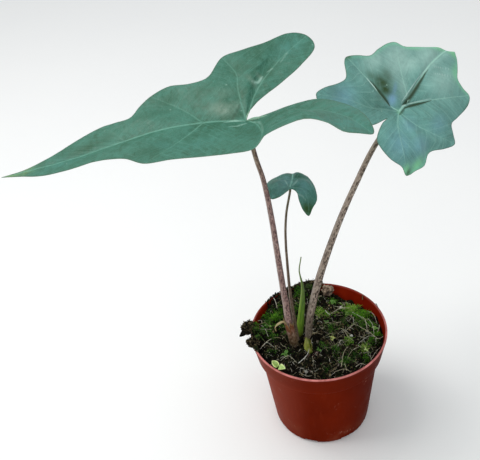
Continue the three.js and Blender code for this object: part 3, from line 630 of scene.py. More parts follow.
SMALL_LEAF = {
    "joint": [-16.4, 0, 258.9],
    "turn": [80, -6, 0],
    "midrib": [[0, 0, 0], [10, -1, 0.5], [22, -1, 0], [28, 0, -5], [31, 0, -12]],
    "forks": [1],
    "right": {
        "margin": [
            [31, 0, -12], [29, -6, -7], [24, -11, -3], [18, -15, -4], [10, -18, -5],
            [3, -20, -8], [-3, -20, -11], [-8, -17, -14], [-13, -14, -18], [-11.5, -10, -14],
            [-4, -6.5, -9.5], [0, -5, -5], [-1, -2, -1.5], [-3, 0, 0],
        ],
        "veins": [(0, [[15, -7, 0]], 3), (None, [[2, -9, -3], [-3, -13, -8]], 8)],
    },
    "left": {
        "margin": [
            [31, 0, -12], [28, 6, -7], [25, 11, -4], [19, 17, -4], [12, 20, -5],
            [5, 19, -7], [-1, 15, -9.5], [-3, 10, -7.5], [-5.5, 5, -3], [-3, 0, 0],
        ],
        "veins": [(0, [[15, 8, -0.5]], 3), (None, [[2, 8, -2]], 6)],
    },
}

# How far a blade swells between two veins, and how its side veins lag behind towards its margin
PUFF, SWEEP = 1.6, 0.85

# Points of a blade that round to the same place at this many steps a millimetre are one point.
SEW_PER_MM = 500

# Thickness of the small leaves and the scraps, and of a blade at its margin
LEAF_THICKNESS, SCRAP_THICKNESS, MARGIN_THICKNESS = 0.22, 0.25, 0.32


def blade_grids(leaf, rows, columns):
    """Patches between neighbouring veins, with the veins and margins that bound them."""
    midrib, tip = spline(leaf["midrib"])
    petiole = midrib(0)[0]
    tail, tail_length = walk(midrib, leaf["forks"][0], tip, rows)
    grids = []
    veins = [(midrib(np.linspace(0, tip, 900)), "midrib", 0)]
    margins = []
    for side in ("right", "left"):
        outline = leaf[side]["margin"]
        margin, last = spline(outline)
        margins.append(margin(np.linspace(0, last, 1500)))
        before = (tail, leaf["forks"][0], 0, tail_length)
        for number, (fork, through, end) in enumerate(leaf[side]["veins"]):
            root = 0 if fork is None else leaf["forks"][fork]
            start = midrib(root)[0]
            path, ends = spline([start, *through, outline[end]])
            vein, length = walk(path, 0, ends, rows)
            veins.append((path(np.linspace(0, ends, 500)), side, number))
            if root == before[1]:
                inner = np.repeat(start[None], len(columns), 0)
            else:
                inner = walk(midrib, before[1], root, columns)[0]
            outer = walk(margin, before[2], end, columns)[0]
            puff = 0.35 * PUFF if number == 0 else PUFF
            grid = coons(before[0], vein, inner, outer, rows, columns, puff)
            grids.append((grid, side, before[3], length, False))
            before = (vein, root, end, length)
        sinus = spline([petiole, outline[-1]])[0]
        edge, edge_length = walk(margin, last, before[2], rows)
        inner = walk(sinus, 0, 1, columns)[0]
        outer = np.repeat(before[0][-1][None], len(columns), 0)
        grid = coons(before[0], edge, inner, outer, rows, columns, 0.4 * PUFF)
        grids.append((grid, side, before[3], edge_length, True))
    return grids, veins, margins


def coons(first, second, inner, outer, rows, columns, puff):
    """A patch of points between four border curves, swollen in its middle."""
    w = np.asarray(rows)[:, None, None]
    u = np.asarray(columns)[None, :, None]
    grid = ((1 - u) * first[:, None] + u * second[:, None] + (1 - w) * inner[None] + w * outer[None]
            - ((1 - u) * (1 - w) * first[0] + u * (1 - w) * second[0]
               + (1 - u) * w * first[-1] + u * w * second[-1]))
    grid[0], grid[-1], grid[:, 0], grid[:, -1] = inner, outer, first, second
    rise = np.clip(np.sin(np.pi * w[..., 0]), 0, 1) * np.clip(np.sin(np.pi * u[..., 0]), 0, 1) ** 1.7
    grid[..., 2] += puff * rise
    return grid


def nearest(points, lines):
    """For each point, the distance to the nearest sample of lines, its line and its share."""
    samples = np.vstack(lines)
    owner = np.concatenate([np.full(len(line), i) for i, line in enumerate(lines)])
    share = np.concatenate([np.linspace(0, 1, len(line)) for line in lines])
    tree = kdtree.KDTree(len(samples))
    for i, sample in enumerate(samples):
        tree.insert(sample, i)
    tree.balance()
    found = [tree.find(p)[1:] for p in points]
    index = np.array([i for i, _ in found])
    return np.array([d for _, d in found]), owner[index], share[index]


def soft_spots(lay, spots):
    """A mask from soft ellipses of (along, across, half length, half width, turn, weight)."""
    mask = np.zeros(len(lay))
    for along, across, long, wide, turn, weight in spots:
        dx, dy = lay[:, 0] - along, lay[:, 1] - across
        c, s = math.cos(math.radians(turn)), math.sin(math.radians(turn))
        reach = ((dx * c + dy * s) / long) ** 2 + ((-dx * s + dy * c) / wide) ** 2
        mask = np.maximum(mask, weight * np.exp(-reach))
    return mask


def strokes(lay, lines):
    """A mask from brush strokes: paths of (along, across, half width) and a weight each."""
    mask = np.zeros(len(lay))
    for path, weight in lines:
        curve, last = spline([[x, y, 0, wide] for x, y, wide in path])
        for x, y, _, wide in curve(np.linspace(0, last, 60)):
            reach = ((lay[:, 0] - x) ** 2 + (lay[:, 1] - y) ** 2) / max(wide, 0.05) ** 2
            mask = np.maximum(mask, weight * np.exp(-reach ** 1.5))
    return mask


def to_world(leaf, points):
    heading, pitch, roll = (math.radians(a) for a in leaf["turn"])
    along = np.array([*polar(math.cos(pitch), heading), math.sin(pitch)])
    level = np.array([-math.sin(heading), math.cos(heading), 0])
    across, up = rolled(level, np.cross(along, level), roll)
    return np.array(leaf["joint"]) + points @ np.array([along, across, up])


def vertex_normals(points, faces):
    faces = np.array(faces)
    total = np.zeros_like(points)
    diagonals = np.cross(points[faces[:, 2]] - points[faces[:, 0]], points[faces[:, 3]] - points[faces[:, 1]])
    for corner in range(4):
        np.add.at(total, faces[:, corner], diagonals)
    return total / np.maximum(np.linalg.norm(total, axis=1, keepdims=True), 1e-9)


def sewn(grids, rows, columns, look):
    """The patches as one net of points and faces, with the side veins' phase and the distance
    from the patch's middle at each point."""
    points, phases, middles, faces, known = [], [], [], [], {}
    for grid, side, first_length, second_length, lobe in grids:
        reach = np.linalg.norm(grid[:, -1] - grid[:, 0], axis=1)[:, None]
        lead = 1.0 if lobe else 0.7
        across = np.minimum(columns, lead / (1 - lead + 1e-9) * (1 - columns))[None] * reach
        length = (1 - columns)[None] * first_length + columns[None] * second_length
        phase = (rows[:, None] * length - SWEEP * across) / look["spacing"]
        middle = np.abs(lead - columns)[None] * reach
        numbers = np.empty(grid.shape[:2], int)
        for r, c in np.ndindex(numbers.shape):
            key = tuple(np.round(grid[r, c] * SEW_PER_MM).astype(int))
            if key not in known:
                known[key] = len(points)
                points.append(grid[r, c])
                phases.append(phase[r, c])
                middles.append(middle[r, c])
            numbers[r, c] = known[key]
        for r, c in np.ndindex(grid.shape[0] - 1, grid.shape[1] - 1):
            face = [numbers[r, c], numbers[r, c + 1], numbers[r + 1, c + 1], numbers[r + 1, c]]
            faces.append(face if side == "right" else face[::-1])
    return np.array(points), faces, np.array(phases), np.array(middles)


def make_blade(name, node, leaf, look, material, row_count, column_count):
    """A blade with folds and ribs along its veins, and the masks that its material follows."""
    rows = np.linspace(0, 1, row_count + 1)
    columns = 0.5 - 0.5 * np.cos(np.pi * np.linspace(0, 1, column_count + 1))
    grids, veins, margins = blade_grids(leaf, rows, columns)
    points, faces, phases, middles = sewn(grids, rows, columns, look)
    normals = vertex_normals(points, faces)

    # Distances that the relief and the colours follow
    gap, line, share = nearest(points, [v[0] for v in veins])
    rim = nearest(points, margins)[0]
    middle_vein = np.array([v[1] == "midrib" for v in veins])[line]
    strength = (0.55 + 0.45 * middle_vein) * (1 - np.where(middle_vein, 0.35, 0.8) * share)
    clear = np.array([look.get("faint", {}).get(v[1:], 1.0) for v in veins])[line]
    fold = np.array([look.get("folds", {}).get(v[1:], look["fold"]) for v in veins])[line]
    near_joint = np.linalg.norm(points[:, :2], axis=1)
    fold = fold * np.exp(-share * look["fade"]) * smooth(near_joint, 1.5, 7)
    width = 0.9 + 1.8 * np.exp(-share * 3)
    gather = smooth(rim, 0, 1.5)
    relief = -fold * np.exp(-(gap / width) ** 2) * gather
    relief += look["ridge"] * strength * np.exp(-(gap / 0.75) ** 2) * gather
    relief += look["quilt"] * np.cos(2 * np.pi * phases) * smooth(gap, 1.5, 7) * smooth(rim, 0, 6)
    ripple = rough(points, 17) * (1 - smooth(rim, 2, 16))
    relief += look["ripple"] * ripple + 0.25 * rough(points, 9) * smooth(rim, 0, 5)
    upper = points + normals * relief[:, None]
    rib = look["rib"] * strength * np.exp(-(gap / (0.6 + 0.9 * strength)) ** 2) * smooth(rim, 0, 3)
    depth = MARGIN_THICKNESS + 0.2 * smooth(rim, 0, 3)
    lower = points + normals * (0.6 * relief - depth - rib)[:, None]

    # Masks, some of them painted light: painted shade in the dark spots, painted sheen in the bloom spots and a painted
    # reflection of the sky
    # Painted shade along the vein grooves, drawn as strokes.
    groove_shade = strokes(points, look.get("groove_shade", ()))
    vein = look["line"] * clear * np.clip(strength + 0.25, 0, 1)
    vein *= 1 - smooth(gap, 0.1 + 0.3 * strength, 0.4 + look["line_width"] * strength)
    border = look["border"] * (1 - smooth(rim, 0, look["border_width"]))
    masks = {
        "vein": vein * (1 - 0.9 * groove_shade), "rim": rim,
        "border": border * soft_spots(points, look.get("border_at", ())),
        "phase": phases, "groove_shade": groove_shade, "shine": strokes(points, look.get("shine", ())),
        **{key: soft_spots(points, look.get(key, ())) for key in ("dark_patch_and_shade", "bloom_and_sheen", "skylight", "gold")},
        "lay": points, "streak": np.column_stack([phases * look["spacing"], 0.13 * middles, np.zeros(len(points))]),
    }
    count = len(points)
    masks = {key: np.concatenate([value, value]) for key, value in masks.items()}
    masks["under"] = np.repeat([0.0, 1.0], count)

    # Both sides, closed along the edges that only one face has, and kept in the solid's box
    all_faces, edges = [], {}
    for face in faces:
        ring = [v for i, v in enumerate(face) if v != face[i - 1]]
        if len(set(ring)) < 3:
            continue
        all_faces += [ring, [v + count for v in reversed(ring)]]
        for a, b in zip(ring, ring[1:] + ring[:1]):
            if (b, a) in edges:
                del edges[b, a]
            else:
                edges[a, b] = True
    all_faces += [[b, a, a + count, b + count] for a, b in edges]
    both = np.clip(np.vstack([to_world(leaf, upper), to_world(leaf, lower)]), *node_box(node))
    return piece(name, both, all_faces, material, masks, [node])


def node_box(node):
    """The lowest and the highest corner of a node, in millimetres."""
    return [np.array(corner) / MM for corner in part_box(node)]


# Round stems, sheets and lumps
def ring_frames(centres):
    """Two unit vectors across the path at each centre, carried along without twisting."""
    tangents = np.gradient(centres, axis=0)
    tangents /= np.linalg.norm(tangents, axis=1, keepdims=True)
    first = np.cross(tangents[0], [0.0, 1.0, 0.0])
    frames = []
    for tangent in tangents:
        first = unit(first - tangent * (first @ tangent))
        frames.append((first, np.cross(tangent, first)))
    return frames


def ring_faces(rings, sides):
    """Faces that join each ring of points to the next."""
    return [[r * sides + k, r * sides + (k + 1) % sides, (r + 1) * sides + (k + 1) % sides, (r + 1) * sides + k]
            for r in range(rings - 1) for k in range(sides)]


def tube(points, rings, sides, shape=lambda angle, share: 1):
    """Points, faces, the skin's coordinates and its rise for a tube along [x, y, z, radius] points."""
    curve, last = spline([p[:3] for p in points])
    shares = np.linspace(0, 1, rings + 1)
    found, length = walk(lambda n: np.column_stack([curve(n), n]), 0, last, shares, 400)
    radii = np.interp(found[:, 3], np.arange(last + 1), [p[3] for p in points])
    radii = np.convolve(np.pad(radii, 2, mode="edge"), np.ones(5) / 5, "valid")
    out, skin = [], []
    for share, centre, radius, (a, b) in zip(shares, found[:, :3], radii, ring_frames(found[:, :3])):
        for angle in np.arange(sides) * 2 * np.pi / sides:
            out.append(centre + radius * shape(angle, share) * (math.cos(angle) * a + math.sin(angle) * b))
            skin.append([*polar(3, angle), share * length])
    ends = [list(range(sides))[::-1], [rings * sides + k for k in range(sides)]]
    return np.array(out), ring_faces(rings + 1, sides) + ends, np.array(skin), np.repeat(shares, sides)


def sideways(points, sides):
    """How far each point of a tube lies to the left (-1) or the right (1) of its middle."""
    rings = points.reshape(-1, sides, 3)[..., 0]
    off = rings - rings.mean(1, keepdims=True)
    return (off / np.abs(off).max(1, keepdims=True)).ravel()


def sheet(grid, thickness):
    """Points and faces of a thin closed sheet whose upper side is a grid of points."""
    rows, columns = grid.shape[:2]
    normal = np.cross(np.gradient(grid, axis=0), np.gradient(grid, axis=1))
    normal /= np.maximum(np.linalg.norm(normal, axis=2, keepdims=True), 1e-9)
    points = np.vstack([grid.reshape(-1, 3), (grid - normal * thickness).reshape(-1, 3)])
    count = rows * columns
    number = np.arange(count).reshape(rows, columns)
    faces = []
    for r, c in np.ndindex(rows - 1, columns - 1):
        ring = [number[r, c], number[r + 1, c], number[r + 1, c + 1], number[r, c + 1]]
        faces += [ring, [v + count for v in reversed(ring)]]
    border = [*number[0], *number[1:, -1], *number[-1, -2::-1], *number[-2:0:-1, 0]]
    faces += [[a, b, b + count, a + count] for a, b in zip(border, border[1:] + border[:1])]
    return points, faces


def small_leaf(foot, tip, width, roll=0.0, cup=0.3, arch=0.1, rows=14, columns=9, blunt=0.75):
    """A thin closed leaf from foot to tip, with each point's share of the way in from its margin."""
    foot, tip = np.array(foot, float), np.array(tip, float)
    length = np.linalg.norm(tip - foot)
    along = (tip - foot) / length
    level = unit(np.cross([0, 0, 1.0], along))
    level, up = rolled(level, np.cross(along, level), roll)
    t = np.linspace(0, 1, rows)[:, None]
    v = np.linspace(-1, 1, columns)[None]
    half = width / 2 * np.sin(np.pi * (0.03 + 0.95 * t) ** blunt) ** 0.8
    lift = cup * half * v ** 2 + arch * length * np.sin(np.pi * t)
    grid = foot + along * (t * length)[..., None] + level * (v * half)[..., None] + up * lift[..., None]
    rim = np.minimum(1 - np.abs(v), 2.5 * np.minimum(t + 0.25, 1 - t)).ravel()
    return *sheet(grid, LEAF_THICKNESS), np.tile(rim, 2)


def shred(path, widths, thickness, turns, rows=26, columns=5):
    """A torn flat strip along a path, its widths and its turns about the path from end to end."""
    curve, last = spline(path)
    centres = curve(np.linspace(0, last, rows))
    v = np.linspace(-1, 1, columns)
    grid = []
    for i, (centre, (a, b)) in enumerate(zip(centres, ring_frames(centres))):
        t = i / (rows - 1)
        side, up = rolled(a, b, turns[0] + (turns[1] - turns[0]) * t)
        half = (widths[0] + (widths[1] - widths[0]) * t) / 2 * (1 + 0.16 * math.sin(11 * t + widths[0]))
        grid.append(centre + side * (v * half)[:, None] + up * (0.4 * half * (1 - v ** 2))[:, None])
    return *sheet(np.array(grid), thickness), np.tile(1 - np.abs(v), 2 * rows)


def ball(subdivisions):
    """Corners and faces of an icosphere of radius 1."""
    mesh = bmesh.new()
    bmesh.ops.create_icosphere(mesh, subdivisions=subdivisions, radius=1)
    points = np.array([v.co[:] for v in mesh.verts])
    faces = [[v.index for v in face.verts] for face in mesh.faces]
    mesh.free()
    return points, faces


CRUMB, CRUMB_FACES = ball(1)


def lump(uneven, half):
    """Points of a small uneven crumb about the origin, turned at random."""
    points = CRUMB * (1 + uneven * (draw.random((len(CRUMB), 1)) - 0.5)) * half
    x, y, z = draw.random(3) * TURN
    return points @ np.array(Matrix.Rotation(z, 3, "Z") @ Matrix.Rotation(y, 3, "Y") @ Matrix.Rotation(x, 3, "X")).T


# Stalks, as points of (x, y, z, radius)
LEFT_PETIOLE = [
    [-22.4, -9.8, 82.3, 3.2], [-22.9, -10.2, 98, 3.3], [-23.6, -10.6, 107, 3.3],
    [-25.3, -11.1, 118, 3.1], [-26.7, -11.8, 134, 3.0], [-27.4, -12.6, 149, 2.9],
    [-28.7, -14.2, 166, 2.6], [-31, -16.7, 204, 2.4], [-33.9, -19.8, 252, 2.1],
    [-37.1, -21.7, 283, 1.8], [-41.1, -23.1, 304, 1.7],
]
RIGHT_PETIOLE = [
    [-10, -3.5, 82.3, 2.9], [-9.5, -2.9, 98, 3.1], [-6.8, -1.2, 122, 3.4], [-2.7, 0, 140, 3.3],
    [3.6, 1.8, 164, 3.2], [13.8, 4.1, 195, 2.8], [24.9, 6.2, 224.5, 2.5], [36.9, 8.2, 252, 2.3],
    [49.3, 10.1, 278, 2.1],
]
SMALL_PETIOLE = [
    [-18.8, -6.4, 82.3, 1.6], [-19.4, -6.4, 98, 1.8], [-20.9, -5.6, 121, 1.75],
    [-21.4, -4.6, 130, 1.7], [-22, -4, 140, 1.55], [-22.8, -3.2, 156, 1.35],
    [-23.1, -2.2, 189, 1.1], [-23, -1.7, 206, 1.05], [-22.3, -1.2, 221, 1], [-20.6, -0.7, 236, 0.95],
]
NEW_LEAF = [
    [-16, 0.6, 82.3, 2.4], [-16.4, 1, 98, 2.9], [-16.2, 1, 105, 3.3], [-15.2, 1, 114, 3.25],
    [-14.2, 1, 123, 2.85], [-12.9, 1, 134, 2.5], [-12.2, 1, 142, 2.05], [-11.5, 1, 150, 1.6],
    [-11.7, 1, 159, 1.1], [-12.9, 1, 168, 0.6], [-13.4, 1, 174, 0.55], [-11.2, 1, 188, 0.45],
]
SIDE_BUD = [
    [-13.3, -14, 83, 1.6], [-12.6, -17.5, 93, 2.6], [-12.4, -18, 98, 3.3],
    [-12.3, -15.5, 104, 2.8], [-12.2, -13.2, 109, 0.6],
]

STALK_RINGS, STALK_SIDES = 170, 24


def make_petiole(name, node, points, leaf, radius, material, facing):
    """A stalk that widens into the ribs under its blade and is grooved on its inner side."""
    joint = np.array(leaf["joint"])
    up = to_world(leaf, np.array([[0, 0, 1.0]]))[0] - joint
    path = [*points, [*(joint - 2.6 * up), radius], [*(joint - 1.1 * up), radius * 1.15]]

    def shape(angle, share):
        hollow = 0.2 * (1 - smooth(share, 0.1, 0.5)) + 0.05
        turn = (angle - facing + math.pi) % (2 * math.pi) - math.pi
        foot = 1 + 0.06 * (1 - smooth(share, 0.03, 0.12)) * math.sin(3 * angle + 2)
        return foot * (1 - hollow * math.exp(-(turn / 0.38) ** 2)) + 0.012 * math.sin(5 * angle + 60 * share)

    out, faces, skin, rise = tube(path, STALK_RINGS, STALK_SIDES, shape)
    masks = {"rise": rise, "side": sideways(out, STALK_SIDES), "skin": skin}
    piece(name, out, faces, material, masks, [node])


def make_new_leaf(material):
    """The rolled leaf, with a seam that winds up it."""
    points, faces, skin, rise = tube(
        NEW_LEAF, 120, STALK_SIDES,
        lambda angle, share: 1 + 0.09 * (((angle + 5 * share) % (2 * math.pi)) / (2 * math.pi) - 0.5),
    )
    masks = {"rise": rise, "side": sideways(points, STALK_SIDES), "rim": np.ones(len(points)), "skin": skin}
    piece("rolled_new_leaf", points, faces, material, masks, ["new_leaf"])


def make_side_shoot(material):
    """A short bud wrapped in small pointed scale leaves with dry margins."""
    core, faces, skin, rise = tube(SIDE_BUD, 60, STALK_SIDES)
    curve, last = spline([p[:3] for p in SIDE_BUD])
    parts = [(core, faces, 1.0, rise, sideways(core, STALK_SIDES), skin)]
    for number in range(9):
        base = curve(last * (0.34 + 0.045 * number))[0]
        out = np.array([*polar(1, 2.4 * number + 0.5), 0])
        foot = base + out * 2.3 - [0, 0, 1.5]
        tip = base + out * (1.6 + 1.1 * draw.random()) + [0, 0, 5.5 + 2 * draw.random()]
        points, leaf_faces, rim = small_leaf(foot, tip, 4.6 - 0.2 * number, 0, -0.3, 0.0, 16, 9)
        bow = 1.1 * np.sin(np.pi * np.clip((points - foot) @ (tip - foot) / ((tip - foot) @ (tip - foot)), 0, 1))
        points = points + out * bow[:, None]
        side = np.clip((points[:, 0] - base[0]) / 4, -1, 1)
        parts.append((points, leaf_faces, rim, 0.3 + 0.07 * number, side, points - base + [3, 3, 0]))
    keys = ("rim", "rise", "side", "skin")
    tidy_mesh(heap("side_shoot", parts, keys, material, ["side_bud"]), 0.0005)


SHEATH_TONGUE = [
    [-28.6, -12.4, 128.6], [-30.2, -12.8, 130.6], [-32.2, -13, 131], [-34.6, -13, 129.9],
    [-36.8, -13, 128.2], [-38.2, -13, 126], [-38.5, -13, 123.4], [-37.7, -13, 121.3],
]

# The sheath goes from this height up to about its torn edge, over these turns about the stalk.
SHEATH_FOOT, SHEATH_TOP = 100, 126.5
SHEATH_TURNS = (140, 352)


def make_sheath(material):
    """The dry sheath that hugs the left stalk's foot, with one torn tongue curling away from it."""
    curve, last = spline([p[:3] for p in LEFT_PETIOLE])
    line = curve(np.linspace(0, last, 500))
    azimuths = np.radians(np.linspace(*SHEATH_TURNS, 54))
    steps = np.linspace(0, 1, 46)
    torn = np.array([2.6 * noise.fractal(Vector((a * 2.2, 0.4, 3)), 0.8, 2.0, 4) for a in azimuths])
    tops = SHEATH_TOP + 3.4 * torn + 3.2 * np.exp(-((azimuths - math.radians(190)) / 0.35) ** 2)
    heights = SHEATH_FOOT + steps[:, None] * (tops[None] - SHEATH_FOOT)
    radii = np.interp(heights, [p[2] for p in LEFT_PETIOLE], [p[3] for p in LEFT_PETIOLE])
    radii = radii + (0.24 + 0.35 * smooth(steps, 0.86, 1)[:, None] + 0.12 * np.sin(7 * azimuths)[None]) + 0.22
    x, y = (np.interp(heights, line[:, 2], line[:, axis]) for axis in (0, 1))
    grid = np.stack([x + radii * np.cos(azimuths), y + radii * np.sin(azimuths), heights], 2)
    high = np.repeat(steps * 0.95, len(azimuths))
    inward = np.minimum(azimuths - azimuths[0], azimuths[-1] - azimuths) * 3
    inward = np.minimum(1, np.minimum.outer((1 - steps) * 8, inward)).ravel()
    tongue = shred(SHEATH_TONGUE, (2.6, 1.5), 0.26, (1.1, 1.9), 40, 7)
    parts = []
    for points, faces, rim, rise in ((*sheet(grid, 0.24), np.tile(inward, 2), np.tile(high, 2)), (*tongue, 1)):
        turn = np.arctan2(points[:, 1] + 11, points[:, 0] + 24)
        skin = np.column_stack([3 * np.cos(turn), 3 * np.sin(turn), points[:, 2]])
        parts.append((points, faces, rise, rim, skin))
    keys = ("rise", "rim", "skin")
    tidy_mesh(heap("torn_sheath", parts, keys, material, ["dry_sheath"]), 0.001)


# Pot
POT = {
    "height": 105, "rim": 60, "collar": 59.6, "collar_foot": 56.3, "collar_foot_height": 84,
    "shoulder": 3.5, "body_top": 52.6, "base": 44.1, "wall": 1.4, "floor": 1.8,
}
NOTCHES = {"count": 8, "width": 12, "height": 3, "depth": 5, "first": -67}

# The lip's inner and outer edge
LIP = (57.4, 60.6)


def pot_profile():
    """The pot's section from its underside round the lip to the floor, and how much is outside."""
    top, rim, collar, collar_foot, foot, shoulder, body_top, base, wall, floor = POT.values()
    body_rise = foot - shoulder - 4
    collar_rise = top - 3 - foot
    swell = collar_foot - body_top
    flare = collar - collar_foot
    bends = [(t, 0.5 * t + 0.5 * float(smooth(t, 0, 1))) for t in np.linspace(0, 1, 8)]
    outside = [
        (0, 0), (base - 6, 0), (base - 5, 0), (base - 3, 0), (base - 1.6, 0.35), (base - 0.7, 1.2),
        (base - 0.2, 2.6), (base, 4),
    ]
    outside += [(base + (body_top - base) * t, 4 + body_rise * t) for t in np.linspace(0.08, 0.97, 14)]
    outside += [(body_top + swell * out, foot + shoulder * (t - 1)) for t, out in bends]
    outside += [(collar_foot + flare * t, foot + collar_rise * t) for t in np.linspace(0.05, 1, 8)]
    lip = [
        (rim - 0.1, top - 2.4), (rim, top - 1.8), (rim, top - 0.9), (rim - 0.2, top - 0.35),
        (rim - 0.6, top - 0.05), (rim - 1.0, top - 0.02), (rim - 1.4, top - 0.3),
        (rim - 1.65, top - 0.9), (rim - 1.75, top - 1.8),
    ]
    inside = [(collar_foot - wall + flare * t, foot + 0.4 + collar_rise * t) for t in np.linspace(0.98, 0.03, 7)]
    inside += [(body_top - wall + swell * out, foot + 0.4 + shoulder * (t - 1)) for t, out in reversed(bends)]
    inside += [(base - wall, 5), (base - wall - 1.2, floor + 0.8), (base - wall - 3, floor), (0, floor)]
    return [*outside, *lip, *inside], len(outside)


def make_pot(material):
    profile, outside = pot_profile()
    azimuths = set(np.round(np.arange(0, 360, 2.25), 3))
    half = math.degrees(math.asin(NOTCHES["width"] / 2 / POT["base"]))
    cuts = [NOTCHES["first"] + 360 * i / NOTCHES["count"] for i in range(NOTCHES["count"])]
    for cut in cuts:
        for edge in (-half - 0.12, -half + 0.12, half - 0.12, half + 0.12):
            azimuths.add(round((cut + edge) % 360, 3))
    points = []
    for azimuth in sorted(azimuths):
        near = min(abs((azimuth - cut + 180) % 360 - 180) for cut in cuts)
        for number, (radius, z) in enumerate(profile):
            low = POT["base"] - NOTCHES["depth"] - 0.5 < radius < POT["base"] + 1 and z < NOTCHES["height"]
            height = NOTCHES["height"] if near < half and low and number < outside else z
            points.append([*polar(radius, math.radians(azimuth)), height])
    count = len(profile)
    faces = []
    for i in range(len(azimuths)):
        j = (i + 1) % len(azimuths)
        faces += [[i * count + k, j * count + k, j * count + k + 1, i * count + k + 1] for k in range(count - 1)]
    within = [float(number > outside + 5) for _ in azimuths for number in range(count)]
    pot = piece("pot_shell", points, faces, material, {"within": within}, ["pot"])
    tidy_mesh(pot, 0.02)
    pot.data.set_sharp_from_angle(angle=math.radians(42))


# Soil. The heaps are x, y, height and spread.
HEAPS = [
    (-17, -4, 3, 13), (-6, 46, 11, 10), (-33, 40, 7, 9), (-48, 6, 7, 10), (-30, -36, 4, 14),
    (15, -44, 3, 14), (36, 6, 2, 12), (38, 34, -4, 12),
]

# The stalks and the other places that loose bits keep clear of: x, y and radius.
STALKS = [(-23.5, -10.5, 5), (-9.3, -2.8, 4), (-19.3, -4.9, 2), (-16.2, 1, 3.8), (-12.5, -17, 4)]


def ground(x, y):
    """The height of the dressed soil, with its clods."""
    lumps = (np.sin(0.42 * x + 0.6) * np.cos(0.37 * y - 0.4) + 0.7 * np.sin(0.23 * x - 0.51 * y + 1.9)
             + 0.5 * np.sin(0.71 * x + 0.33 * y))
    z = 96.5 + 1.3 * lumps
    for cx, cy, height, spread in HEAPS:
        z = z + height * np.exp(-((x - cx) ** 2 + (y - cy) ** 2) / (2 * spread ** 2))
    z = float(z)
    z += 1.5 * noise.fractal(Vector((x / 7, y / 7, 0.3)), 0.9, 2.0, 3)
    z += 0.8 * noise.fractal(Vector((x / 2.1, y / 2.1, 7.3)), 0.8, 2.0, 3)
    z += 3 * math.exp(-((x + 31) ** 2 + (y - 44) ** 2) / 90)
    reach = math.hypot(x, y)
    if reach > 53:
        z = min(z, 104.4) - 1.6 * smooth(reach, 53, 56)
    return z


def make_soil(material):
    sides, rings, edge, bottom = 360, 130, 56.5, 2.1
    clear = POT["wall"] + 0.4
    side = [
        (POT["base"] - clear - 3, bottom), (POT["base"] - clear, 5.4),
        (POT["body_top"] - clear, POT["collar_foot_height"] - POT["shoulder"] + 0.8),
        (POT["collar_foot"] - clear, POT["collar_foot_height"] + 1), (55.4, 90),
    ]
    circle = [polar(1, 2 * math.pi * k / sides) for k in range(sides)]
    points = [[radius * c, radius * s, z] for radius, z in side for c, s in circle]
    for i in range(rings):
        radius = edge * (1 - i / rings) ** 0.92
        points += [[radius * c, radius * s, ground(radius * c, radius * s)] for c, s in circle]
    last = len(points)
    faces = ring_faces(len(side) + rings, sides)
    for k in range(sides):
        j = (k + 1) % sides
        faces += [[j, k, last], [last - sides + k, last - sides + j, last + 1]]
    points += [[0, 0, bottom], [0, 0, ground(0, 0)]]
    piece("peat_surface", points, faces, material, replaces=["soil"])


def is_clear(x, y):
    return all(math.hypot(x - cx, y - cy) > reach for cx, cy, reach in STALKS)


def clear_spot(limit):
    """A random place on the soil that keeps off the stalks."""
    while True:
        x, y = polar(limit * math.sqrt(draw.random()), 2 * math.pi * draw.random())
        if is_clear(x, y):
            return x, y


def rested(points):
    """Points that would be inside the pot's rim are raised onto it."""
    reach = np.hypot(points[:, 0], points[:, 1])
    on_rim = (reach > LIP[0]) & (reach < LIP[1]) & (points[:, 2] > 99)
    points[on_rim, 2] = np.maximum(points[on_rim, 2], POT["height"] + 0.15)
    return points


# Paths along which loose peat covers the rim, at the back left and at the left
RIM_LITTER = [[-41, 39, 0], [-36.4, 43.4, 0], [-32.1, 48.2, 0], [-27, 51.4, 0], [-19.9, 55.7, 0], [-11.9, 58.5, 0]]
LEFT_LITTER = [[-56.4, 15, 0], [-58.4, 8, 0], [-58.8, 0, 0], [-58.8, -8, 0], [-57.4, -14.5, 0], [-55.4, -20, 0]]

# How far out crumbs, moss and fibres lie on the soil, and how many crumbs and fibres are drawn
CRUMB_REACH, MOSS_REACH, FIBRE_REACH = 55.2, 54.6, 53
CRUMB_COUNT, RIM_CRUMB_COUNT, FIBRE_COUNT = 4200, 980, 760

# Where paler crumbs lie: x, y, spread, number and the lowest tone
PALE_CRUMBS = [
    (-17, -45, 5, 26, 0.9), (8, -44, 9, 14, 0.85), (24, 4, 9, 8, 0.86), (-9, -24, 5, 60, 0.985), (-44, -12, 8, 70, 0.8),
]


